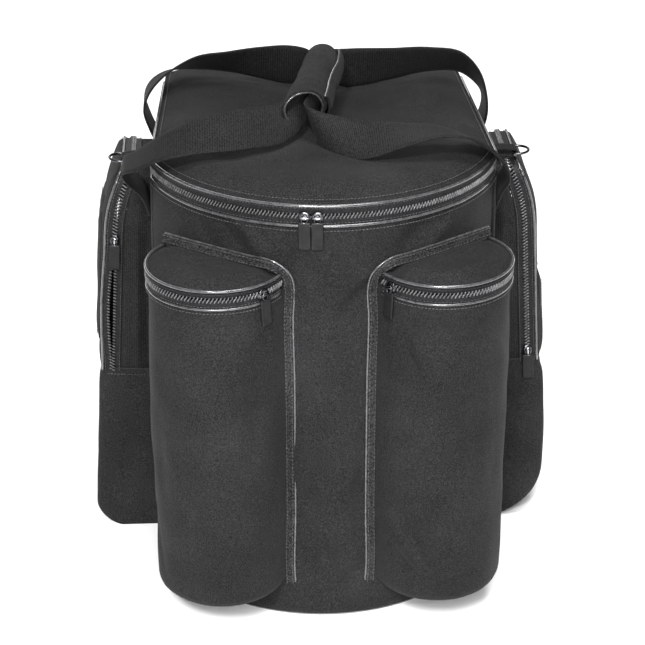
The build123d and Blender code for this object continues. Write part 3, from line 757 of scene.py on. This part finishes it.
# ---- bottle pockets --------------------------------------------------------------------------
POCKET_FOLDS = {  # across from the pocket's middle to the bag's, and up
    1: (
        (48, 352, 6, 322, 6.5, -3.4), (84, 332, 68, 296, 5, -2.4), (14, 357, 5, 355, 4, -1.8),
        (78, 336, 60, 316, 6, 2.2), (88, 230, 78, 222, 6, -2.2), (92, 150, 60, 98, 8.5, -3.6),
        (90, 118, 52, 72, 7.5, 2.6), (90, 95, 74, 80, 5.5, -2.4), (50, 64, 10, 74, 5, -1.8),
        (92, 345, 50, 352, 4.5, -1.4), (60, 318, 10, 344, 8, -1.4), (-10, 340, -50, 300, 9, -1.2),
    ),
    -1: (
        (30, 345, -20, 300, 9, -1.4), (84, 320, 70, 180, 10, -1.6), (-20, 280, -40, 90, 16, -2.0),
        (20, 250, 30, 90, 14, 1.2), (-60, 120, -30, 60, 8, -1.4),
    ),
}


class Pocket:
    """A bottle pocket's own axes: X along the bag's skin, Y away from its bow."""

    def __init__(self, side):
        self.side, self.name = side, f"{SIDES[side]}_bottle"
        self.centre = np.array(JOINTS[f"{self.name}_zip"]["pos_m"][:2])
        away = self.centre - (0, BOW_Y)
        reach = float(np.linalg.norm(away))
        self.out = away / reach
        self.x = np.array((self.out[1], -self.out[0]))
        self.meet_y = (BOW_RADIUS**2 - POCKET_RADIUS**2 - reach**2) / (2 * reach)
        self.inward = 1 if self.x[0] * side < 0 else -1  # which way along X the bag's middle lies

    def flat(self, x, y):
        """The same direction or offset in the bag's plan."""
        return np.multiply.outer(x, self.x) + np.multiply.outer(y, self.out)

    def at(self, x, y, z):
        flat = self.centre + self.flat(x, y)
        return np.concatenate((flat, np.broadcast_to(z, flat.shape[:-1])[..., None]), axis=-1)

    def around(self, radius, angles, z):
        return self.at(radius * np.cos(angles), radius * np.sin(angles), z)


def pocket_arc(low_y, count):
    """Angles round a pocket between its two meetings with the line y = low_y."""
    start = asin(low_y / POCKET_RADIUS)
    return np.linspace(start, pi - start, count)


def bottle_wall(pocket):
    """The pocket's rounded wall and foot."""
    side = pocket.side
    angles = pocket_arc(pocket.meet_y, 96)
    cloth_x = (pi / 2 - angles) * POCKET_RADIUS * pocket.inward
    pucker = np.exp(-(((cloth_x - cloth_x.max()) / 0.012) ** 2)) * 0.0009
    hold = ramp((angles - angles[0]) * 6) * ramp((angles[-1] - angles) * 6)
    rows = []
    for inset, z in wall_rows(POCKET_FOOT, POCKET_TOP + 0.001, POCKET_ROUND, 130):
        height = (z - POCKET_FOOT) / (POCKET_TOP - POCKET_FOOT)
        skin = at_height(np.column_stack((angles * 0.07, 0 * angles)), z)
        lift = 1.4 * creases(at_height(cloth_x, z), POCKET_FOLDS[side])
        lift = lift + 0.0026 * grain(skin, (16, 1, 7), 40 + side)
        lift = lift + 0.0016 * grain(skin, (42, 1, 22), 44 + side)
        lift = (lift + grain([(0, 0, z)], 95, 50 + side) * pucker) * sin(pi * np.clip(height, 0.02, 1)) ** 0.4
        radius = POCKET_RADIUS - inset + 0.0012 * sin(pi * height) + lift * hold
        rows.append(pocket.around(radius, angles, z))
    wall = shell(f"{pocket.name}_cover", rows, 0.0026, FABRIC, "bag", f"{pocket.name}_wall")
    bottle_floor(pocket, angles)


def bottle_floor(pocket, angles):
    """The pocket's base, between its rounded foot and the bag's bow."""
    front = pocket.around(POCKET_RADIUS - POCKET_ROUND, angles, POCKET_FOOT + 0.0004)
    bow_x = np.linspace(front[0, 0], front[-1, 0], len(angles))
    bow_y = BOW_Y - np.sqrt(BOW_RADIUS**2 - bow_x**2) + 0.001
    bow = at_height(np.column_stack((bow_x, bow_y)), POCKET_FOOT + 0.001)
    rows = np.array([front * (1 - t) + bow * t for t in np.linspace(0, 1, 12)])
    both = np.concatenate((rows, (rows + UP * 0.0022)[::-1]))
    grid(f"{pocket.name}_floor", both, FABRIC, "bag", f"{pocket.name}_base")


def bottle_zip(pocket):
    name, lid = pocket.name, f"{pocket.name}_lid"
    angles = pocket_arc(POCKET_CHORD, 90)
    out = at_height(pocket.flat(np.cos(angles), np.sin(angles)), 0)
    radius = POCKET_RADIUS + SKIN_GAP
    line = pocket.around(radius, angles, POCKET_CHAIN_Z)
    zip_half(f"{name}_zip_lower", line, out, -UP, "bag", -1)
    zip_half(f"{name}_zip_upper", line, out, UP, lid, 1)
    tube(f"{lid}_piping", line + UP * 0.0090 + out * 0.0008, 0.0016, PIPING, lid)
    tube(f"{lid}_cord", line + UP * 0.0056 + out * 0.0006, 0.0011, TAPE, lid)
    tube(f"{name}_mouth_piping", line - UP * 0.0098 + out * 0.0006, 0.0013, PIPING)
    stitches(f"{name}_mouth_stitching", line - UP * 0.0138 + out * 0.0012, out)
    low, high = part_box(f"{name}_slider")
    bearing = unit(np.array(((low + high) / 2)[:2]) - pocket.centre)
    place = (*(pocket.centre + bearing * radius), POCKET_CHAIN_Z)
    along = np.array((-bearing[1], bearing[0], 0)) * -pocket.side
    slider(f"{name}_slider", place, along, (*bearing, 0), tilt=4 if pocket.side < 0 else -3)


def bottle_lid(pocket):
    """The puffed half-round lid, with its straight edge sewn along the flange."""
    arc = pocket_arc(POCKET_CHORD, 100)
    radius = POCKET_RADIUS - 0.0004
    ends = np.linspace(radius * cos(arc[-1]), radius * cos(arc[0]), 40)[1:-1]
    chord = at_height(ends, POCKET_CHORD)
    edge = np.concatenate((np.column_stack((radius * np.cos(arc), radius * np.sin(arc))), chord))
    depth = POCKET_LID_TOP - POCKET_LID_SEAM
    rows = []
    for s in (*np.linspace(0, 0.97, 24), ALMOST_CLOSED):
        ring = shrink(edge, np.array((0.0, 0.020)), s)
        flat = at_height(ring, 0)
        gap = radius - np.hypot(ring[:, 0], ring[:, 1])
        rear = ring[:, 1] - POCKET_CHORD
        puff = 1 - ramp(1 - gap / 0.026) ** 2.4
        climb = 0.15 + 0.85 * ease(1 - rear / 0.074)  # the cloth rises from the zip to the sewn rear edge
        soft = grain(flat, 24, 60 + pocket.side) + 0.5 * grain(flat, 55, 62)
        lift = depth * (0.55 * puff + 0.45 * climb * ramp(gap / 0.018)) + 0.0010 * soft * ramp(gap / 0.02)
        lift = lift - 0.0085 * ease(1 - rear / 0.024)
        lift = lift + creases(ring, ((-45, 12, 20, 30, 9, -3.0),)) * ramp(gap / 0.02)
        lift = lift + creases(ring, ((-20, 48, 42, 40, 10, 2.6),)) * ramp(gap / 0.014)
        rows.append(pocket.at(ring[:, 0], ring[:, 1], POCKET_LID_SEAM + lift))
    name = f"{pocket.name}_lid"
    base = pocket.at(edge[:, 0], edge[:, 1], POCKET_LID_SEAM - 0.0005)
    pad(f"{name}_cover", base, (0.0005, *np.linspace(0.04, 1, 9)), rows, name, name)


def fray(piece, size, seed):
    """A frayed look: each of a piece's points moved a little, the same each run."""
    places = np.array([v.co for v in piece.data.vertices])
    shift = np.stack([grain(places, 900, seed + k) for k in range(3)], axis=1)
    piece.data.vertices.foreach_set("co", (places + shift * size).ravel())


def flange(pocket):
    """The bound seam: along the lid's rear edge, round its inner end and down beside the pocket."""
    name, side, inward = pocket.name, pocket.side, pocket.inward
    lid_z = POCKET_LID_TOP - 0.0038
    end = sqrt(POCKET_RADIUS**2 - POCKET_CHORD**2)
    out = np.array((*pocket.out, 0))
    rise = unit(UP - 0.25 * out)
    stations = []
    for t in (-1.0, -0.55, 0.0, 0.5, 0.9):
        place = pocket.at(inward * t * end, POCKET_CHORD + 0.0014, lid_z - 0.0006 * (1 - t * t))
        stations.append((*place, *rise))
    place = pocket.at(inward * (end + 0.0035), POCKET_CHORD - 0.0055, lid_z - 0.0085)
    stations.append((*place, *unit(UP + 1.1 * np.array((*(pocket.x * inward), 0)))))
    skin = np.array((side * sin(FLANGE_BEARING), -cos(FLANGE_BEARING)))
    along = np.array((-side * cos(FLANGE_BEARING), -sin(FLANGE_BEARING), 0))
    for z in (0.374, 0.345, 0.28, 0.20, 0.12, 0.062):
        place = (*((0, BOW_Y) + skin * (BOW_RADIUS + 0.0026)), z)
        stations.append((*(place + along * 0.0006 * sin(z * 70)), *along))
    stations.append((*((0, BOW_Y) + skin * (BOW_RADIUS + 0.0012)), POCKET_FOOT + 0.004, *along))
    both = curve(stations, 260)
    line, across = both[:, :3], unit(both[:, 3:])
    seam = f"{name}_flange"
    piece = ribbon(f"{seam}_binding", line, across, 0.0092, 0.0036, FLANGE, "bag", seam, edge=0.0014)
    fray(piece, 0.0009, 70)
    face = unit(np.cross(along_line(line), across))
    face = face * np.sign(face @ np.array((*pocket.out, 0.3)))[:, None]
    word = SIDES[side]
    for label, shift in (("outer", 0.0030), ("inner", -0.0030)):
        row = line + across * shift + face * 0.0020
        stitches(f"{word}_flange_{label}_stitching", row, face, "bag", 0.0042, 0.0029)
    tube(f"{word}_flange_piping", line + across * 0.0052 + face * 0.0006, 0.0012, PIPING)


for side in SIDES:
    pocket = Pocket(side)
    bottle_wall(pocket)
    bottle_zip(pocket)
    bottle_lid(pocket)
    flange(pocket)


# ---- side pockets ----------------------------------------------------------------------------
def face_lean(v):
    """How far a face's top leans in, as the full pocket is drawn towards the bag there."""
    return 0.016 * np.clip((v - 0.352) / 0.070, 0, 1.3) ** 2


class SideFace:
    """A side pocket's leaning outer face: y along the bag, v up the face, depth in from it."""

    def __init__(self, side):
        self.side, self.word = side, SIDES[side]
        self.door = f"{self.word}_side_door"
        self.up = np.array((SIDE_AXIS[0] * side, 0, SIDE_AXIS[2]))
        self.out = np.array((side * self.up[2], 0, abs(self.up[0])))
        self.foot = np.array((side * SIDE_FACE_X, 0, SIDE_FOOT))

    def at(self, y, v, depth):
        y, v, depth = (a[..., None] for a in np.broadcast_arrays(y, v, depth + face_lean(v)))
        return self.foot + v * self.up - depth * self.out + y * np.array((0, 1, 0))

    def body_depth(self, y, v):
        """How deep the bag's own side lies behind the face."""
        return (SIDE_FACE_X - v * abs(self.up[0]) - side_x(y)) / abs(self.out[0]) - face_lean(v)

    def across(self, arch):
        """The outward direction round an arch."""
        return arch[:, 2:3] * np.array((0, 1, 0)) + arch[:, 3:4] * self.up


def side_arch(count, inset=0.0):
    """(y, v, outward y, outward v) up the front edge, over the rounded top and down the back."""
    top, r = SIDE_HEIGHT - inset, SIDE_CORNER - inset
    low, high = SIDE_FRONT + inset, SIDE_BACK - inset
    front = [(low, v, -1, 0) for v in np.linspace(SIDE_ZIP_FOOT, top - r, 20)]
    turns = np.linspace(0.05, pi / 2, 10)
    bend = [(low + r - r * cos(t), top - r + r * sin(t), -cos(t), sin(t)) for t in turns]
    over = [(y, top, 0, 1) for y in np.linspace(low + r, high - r, 8)[1:-1]]
    turns = np.linspace(0, pi / 2 - 0.05, 10)
    turn = [(high - r + r * sin(t), top - r + r * cos(t), sin(t), cos(t)) for t in turns]
    back = [(high, v, 1, 0) for v in np.linspace(top - r, SIDE_ZIP_FOOT, 20)]
    return evenly(front + bend + over + turn + back, count)


def side_zip(face):
    arch = side_arch(190)
    y, v = arch[:, 0], arch[:, 1]
    out = unit(face.across(arch))
    line = face.at(y, v, SIDE_CHAIN_DEPTH) + out * SKIN_GAP
    gap = np.zeros(len(arch))
    if face.side < 0:  # this zip is open below its slider, so its halves part in the shape of a leaf
        share = (v - 0.200) / 0.134
        on_front = (y < SIDE_FRONT + 0.001) & (share > 0) & (share < 1)
        gap = np.where(on_front, 0.0042 * np.sin(pi * ramp(share)) ** 1.2, 0)
    name, door = f"{face.word}_side", face.door
    zip_half(f"{name}_zip_inner", line, out, -face.out, "bag", -1)
    zip_half(f"{name}_zip_outer", line, out, face.out, door, 1, gap)
    shift = face.out * (0.0098 + gap[:, None] * 0.6)
    tube(f"{door}_piping", line + shift + out * 0.0004, 0.0015, PIPING, door)
    low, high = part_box(f"{name}_slider")
    height = ((low.z + high.z) / 2 - SIDE_FOOT) / face.up[2]
    place = face.at(SIDE_FRONT - 0.0006, height, SIDE_CHAIN_DEPTH)
    slider(f"{name}_slider", place, face.up, (0, -1, 0), (face.side * 0.05, 0, -1))


def upper_gusset(face):
    """The cloth strip between the bag's side and the zip, over the pocket's upper half."""
    arch = side_arch(150)
    y, v = arch[:, 0], arch[:, 1]
    out = face.across(arch)
    inner = face.body_depth(y, v)
    on_front = ramp(-arch[:, 2])
    rows = []
    for t in np.linspace(0, 1, 30):
        places = face.at(y, v, inner + (SIDE_CHAIN_DEPTH + 0.0092 - inner) * t)
        belly = sin(pi * t) ** 0.7
        soft = grain(places, (30, 30, 11), 80 + face.side) + 0.4 * grain(places, (70, 70, 26), 82)
        fold = 0.0030 * np.exp(-(((t - 0.62) / 0.10) ** 2)) - 0.0034 * np.exp(-(((t - 0.36) / 0.11) ** 2))
        lift = 0.0016 * belly + 0.0020 * soft * belly + fold * on_front * ease((0.40 - v) / 0.1)
        if face.side > 0:
            place = np.column_stack((0 * v + t, v * 4))
            pulled = ((150, 1560, 550, 1380, 100, -4.0), (200, 1460, 500, 1300, 80, 2.6))
            lift = lift + creases(place, pulled) * on_front
        lift = lift * ease((v - SIDE_ZIP_FOOT) / 0.02 + 0.2)
        rows.append(places + out * lift[:, None])
    rows = rows[:: -face.side]
    replaces = f"{face.word}_side_gusset"
    shell(f"{face.word}_gusset_cover", rows, 0.0018, FABRIC, "bag", replaces)


def pouch_section(face, depth_in, v):
    """(y, depth) round the pouch at one height: out along its front, across its face and back in."""
    r = 0.009
    front, back = SIDE_FRONT, SIDE_BACK
    turn = np.linspace(0, pi / 2, 8)
    section = [(front, d) for d in np.linspace(face.body_depth(front, v), depth_in + r, 16)]
    section += [(front + r - r * cos(t), depth_in + r - r * sin(t)) for t in turn[1:]]
    section += [(y, depth_in) for y in np.linspace(front + r, back - r, 22)[1:-1]]
    section += [(back - r + r * sin(t), depth_in + r - r * cos(t)) for t in turn]
    section += [(back, d) for d in np.linspace(depth_in + r, face.body_depth(back, v), 16)[1:]]
    return np.array(section).T


def lower_pouch(face):
    """The closed lower half of the side pocket, with its rounded outer foot."""
    side, word = face.side, face.word
    foot_round, top = SIDE_FOOT_ROUND[side], SIDE_ZIP_FOOT + 0.003
    swell = 0.0065 if side > 0 else 0.0018
    heights = [(foot_round * (1 - sin(t)), foot_round * (1 - cos(t))) for t in np.linspace(0, pi / 2, 16)]
    heights += [(0.0, v) for v in np.linspace(foot_round, top, 40)[1:]]
    rows = []
    for depth_in, v in heights:
        y, depth = pouch_section(face, depth_in, v)
        places = face.at(y, v, depth)
        outward = unit((places - face.at((SIDE_FRONT + SIDE_BACK) / 2, v, 0.04)) * (1, 0.55, 0))
        hold = ease(v / 0.03) * ease((top - v) / 0.02)
        soft = grain(places, (34, 34, 9), 90 + side) + 0.5 * grain(places, (60, 60, 22), 93)
        order = np.arange(len(y))
        end_hold = ramp(np.minimum(order, order[::-1]) / 5)
        belly = swell * (1 - ramp((depth - depth_in) / 0.03)) * sin(pi * min(1, v / 0.24))
        rows.append(places + outward * ((0.0024 * soft + 0.0012 + belly) * hold * end_hold)[:, None])
    inner_line = np.linspace(rows[0][0], rows[0][-1], len(rows[0]))
    cap = [inner_line * (1 - t) + rows[0] * t for t in np.linspace(0, 1, 7)[:-1]]
    rows = np.array(cap + rows)
    outer = rows[:, ::side]
    piece = shell(f"{word}_pouch_cover", outer, 0.0020, FABRIC, "bag", f"{word}_side_gusset")
    for vertex in piece.data.vertices:
        vertex.co.z = max(vertex.co.z, 0.0008)
    tube(f"{word}_pouch_seam", rows[-1][1:-1] - UP * 0.0014, 0.0010, BINDING)
    row = rows[-2]
    stitches(f"{word}_pouch_seam_stitching", row[2:-2] - UP * 0.004, unit(row[2:-2] - row.mean(axis=0)))


def edge_gap(ring, low, high):
    """How far each point lies inside a rectangle's nearest side."""
    return np.minimum((ring - low).min(axis=1), (high - ring).min(axis=1))


def side_door(face):
    """The padded outer panel of the zipped opening, with a flat pocket puffed out of it."""
    side = face.side
    bottom = at_height(np.linspace(SIDE_BACK - 0.002, SIDE_FRONT + 0.002, 36)[1:-1], SIDE_ZIP_FOOT + 0.0008)
    edge = np.concatenate((side_arch(150, 0.0012)[:, :2], bottom))
    centre = np.array(((SIDE_FRONT + SIDE_BACK) / 2, 0.305))
    rows = []
    for s in np.linspace(0, 0.985, 30):
        ring = shrink(edge, centre, s)
        gap = edge_gap(ring, (SIDE_FRONT, SIDE_ZIP_FOOT), (SIDE_BACK, SIDE_HEIGHT))
        puff = 0.0034 * (1 - ramp(1 - gap / 0.02) ** 2)
        if side > 0:
            puff = puff + 0.0042 * ease((0.285 - ring[:, 1]) / 0.06) * ramp(gap / 0.012)
        soft = 0.0012 * grain(at_height(ring, 0), 30, 100 + side) * ramp(gap / 0.01)
        rows.append(face.at(ring[:, 0], ring[:, 1], -(puff + soft)))
    under = face.at(edge[:, 0], edge[:, 1], 0.0022)
    pad(f"{face.word}_door_cover", under, np.linspace(0.02, 1, 12), rows, face.door, face.door)
    patch_pocket(face)


def patch_pocket(face):
    """The flat pocket sewn on the door."""
    side, word = face.side, face.word
    low_v, high_v = (0.222, 0.372) if side < 0 else (0.204, 0.290)
    low, high = np.array((SIDE_FRONT + 0.009, low_v)), np.array((SIDE_BACK - 0.009, high_v))
    r = 0.010
    edge = []
    for quarter, (right, top) in enumerate(((1, 1), (0, 1), (0, 0), (1, 0))):
        corner = (high[0] - r if right else low[0] + r, high[1] - r if top else low[1] + r)
        turns = quarter * pi / 2 + np.linspace(0, pi / 2, 7)
        edge += [(corner[0] + r * cos(t), corner[1] + r * sin(t)) for t in turns]
    edge = evenly(edge + edge[:1], 121)[:-1]
    centre = (low + high) / 2
    base = 0.0030 if side < 0 else 0.0045
    rows = []
    for s in np.linspace(0, 0.985, 22):
        ring = shrink(edge, centre, s)
        gap = edge_gap(ring, low, high)
        puff = 0.0042 * (1 - ramp(1 - gap / 0.022) ** 2)
        soft = 0.0010 * grain(at_height(ring, 0), 38, 110 + side) * ramp(gap / 0.01)
        rows.append(face.at(ring[:, 0], ring[:, 1], -(base + puff + soft)))
    under = face.at(edge[:, 0], edge[:, 1], -0.0008)
    pad(f"{word}_patch_cover", under, np.linspace(0.02, 1, 8), rows, face.door, f"{word}_patch_pocket")
    seam = shrink(edge, centre, 0.06)
    line = face.at(seam[:, 0], seam[:, 1], -(base + 0.0026))
    stitches(f"{word}_patch_stitching", line, face.out, face.door)


def ring_tab(face):
    """Webbing folded round the D-ring's bar and sewn on top of the pocket."""
    word = face.word
    low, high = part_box(f"{word}_ring_tab")
    bar = np.array(JOINTS[f"{word}_ring_swing"]["pos_m"])
    out = np.array((face.side, 0, 0))
    wrap = [bar + (out * sin(t) + UP * cos(t)) * 0.0030 for t in np.linspace(0, pi, 9)]
    over = [bar - out * 0.030 + UP * 0.0036, bar - out * 0.012 + UP * 0.0042]
    under = [bar - out * 0.010 - UP * 0.0030, bar - out * 0.030 - UP * 0.0004]
    line = curve(over + wrap + under, 60)
    width = (high.y - low.y) * 0.80
    name = f"{word}_ring_webbing"
    fray(ribbon(name, line, (0, 1, 0), width, 0.0019, STRAP, "bag", f"{word}_ring_tab"), 0.0006, 120)


for side in SIDES:
    face = SideFace(side)
    side_zip(face)
    upper_gusset(face)
    lower_pouch(face)
    side_door(face)
    ring_tab(face)


# ---- handles ---------------------------------------------------------------------------------
# Each station: x, y and z in mm of the strap's middle and the angle of its width from +Y up; where
# the strap leans or is creased together in the grip, also how far its upper edge leans along -X,
# and the share of its width.
HANDLE_STATIONS = {
    -1: (
        (-174, -40, 396, 0), (-181, -44, 416, 0), (-195, -54, 436, 0), (-199, -66, 450, 0),
        (-184, -85, 464, 3), (-161, -96, 480, 10), (-131, -97, 491, 23), (-78, -82, 493, 34),
        (-40, -60, 491, 42, 0, 0.95), (-20, -38, 499, 66, 0, 0.75), (-12, -8, 504, 90, 0, 0.56),
        (-8, 40, 506, 90, 0, 0.56), (-9, 72, 504, 96, 0, 0.75), (-30, 92, 499, 105),
        (-60, 101, 499, 120), (-92, 107, 498, 136), (-127, 110, 496, 147), (-145, 111, 491, 158),
        (-162, 113, 482, 168), (-176, 117, 467, 176), (-182, 122, 450, 180), (-177, 129, 424, 180),
        (-165.5, 135, 396, 180),
    ),
    1: (
        (174, -40, 396, 0), (178, -50, 416, 0), (183, -68, 436, -4), (178, -82, 452, -12),
        (154, -94, 478, -20), (112, -100, 494, -8), (73, -98, 490, 10), (44, -92, 484, 28, 0.05, 1),
        (24, -86, 483, 42, 0.18, 1), (6, -78, 484, 56, 0.32, 1), (-11, -62, 489, 72, 0.36, 0.92),
        (-9, -38, 497, 84, 0.1, 0.7), (0, -8, 503, 88, 0, 0.56), (3, 40, 506, 90, 0, 0.56),
        (9, 72, 504, 98, 0, 0.75), (34, 92, 494, 104), (79, 101, 495, 118), (120, 107, 497, 130),
        (156, 111, 491, 138), (175, 114, 472, 150), (183, 118, 448, 172), (181, 126, 422, 180),
        (165.5, 135, 396, 180),
    ),
}
HANDLE_FEET = (("front", -0.040), ("rear", 0.135))  # where each anchor lies along the bag
BOX_CORNERS = (  # the box of stitching on each anchor, with one line across it
    (-0.019, 0.335), (0.019, 0.335), (0.019, 0.385), (-0.019, 0.385), (-0.019, 0.335), (0.019, 0.385),
)


def webbing_handle(side):
    """A handle's strap, and its two sewn-down ends."""
    word = SIDES[side]
    stations = np.array([(*station, 0, 1)[:6] for station in HANDLE_STATIONS[side]])
    stations[:, :3] /= 1000
    stations[:, 3] = np.radians(stations[:, 3])
    smooth = curve(stations, 330)
    line, (angle, lean, width) = smooth[:, :3], smooth.T[3:]
    across = np.column_stack((-lean, np.cos(angle), np.sin(angle)))
    wave = grain(np.outer(lengths(line), (1, 0, 0)), 18, 130 + side) * 0.0012
    line = line + across * wave[:, None]
    width = WEBBING_WIDTH * width
    strap = ribbon(f"{word}_handle_webbing", line, across, width, WEBBING, STRAP, None, f"{word}_handle")
    x, y, _ = JOINTS[f"{word}_handle_swing"]["pos_m"]
    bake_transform(strap)
    for end, y in HANDLE_FEET:
        sewn = [(side * side_x(y, 0.0026), y, z) for z in np.linspace(0.06, ANCHOR_TOP, 50)]
        along, anchor = (-side * SIDE_SLOPE, 1, 0), f"{word}_{end}_anchor_webbing"
        ribbon(anchor, sewn, along, WEBBING_WIDTH, WEBBING, STRAP, "bag", f"{word}_handle_anchors")
        marks = [(side * side_x(y + dy, 0.0040), y + dy, z) for dy, z in BOX_CORNERS]
        stitches(f"{word}_{end}_box_stitching", evenly(marks, 150), (side, 0, 0))


def grip_layer(axis, first, last, grow, count):
    """A sheet rolled round the straps between two angles in degrees, its front edge cut on a slant."""
    along = np.linspace(0, 1, len(axis))
    radius = (0.0172 - 0.0024 * along + 0.0008 * np.sin(along * 9 + 1)) + grow
    rows = []
    for t in np.radians(np.linspace(first, last, count)):
        place = axis + np.outer(radius * cos(t), (1, 0, 0)) + np.outer(radius * sin(t), (0, 0.10, 0.98))
        slant = 0.010 * cos(t - 2.6) * np.exp(-((along / 0.3) ** 2))
        place = place - np.outer(slant, (0.2, 1, -0.1))
        soft = (grain(place, 44, 140) + 0.6 * grain(place, 100, 141)) * 0.0010
        rows.append(place + soft[:, None] * np.array((cos(t), 0, sin(t))))
    return np.array(rows)


def grip_wrap():
    """A padded sleeve rolled over both straps, its flap lapped down the right-hand side."""
    axis = curve(np.array(((-19, -50, 501), (-11, -14, 506), (-1, 30, 509), (6, 80, 508))) / 1000, 60)
    body = "left_handle"
    sleeve = grip_layer(axis, 224, -42, 0.0, 80)
    shell("grip_cover", sleeve, 0.0030, FABRIC, body, "grip_wrap")
    flap = grip_layer(axis, 30, -50, 0.0056, 36)
    shell("grip_flap", flap, 0.0026, FABRIC, body)
    tube("grip_flap_binding", flap[0] + (0.0004, 0, 0), 0.0014, PIPING, body)
    stitches("grip_flap_stitching", flap[-6][3:-3], unit(flap[-6] - axis)[3:-3], body)
    for label, k in (("front", 0), ("rear", -1)):
        tube(f"grip_{label}_binding", sleeve[:, k], 0.0011, PIPING, body)


for side in SIDES:
    webbing_handle(side)
grip_wrap()


# ---- finish ----------------------------------------------------------------------------------
def cad_finish(name):
    """The material of a CAD node that stays in view."""
    if "ring" in name and "tab" not in name:
        return GUNMETAL
    return FOAM if "foam" in name else BOARD if "board" in name else FABRIC


for name, part in frame["nodes"].items():
    if not part.hide_render:
        part.data.materials.clear()
        part.data.materials.append(cad_finish(name))
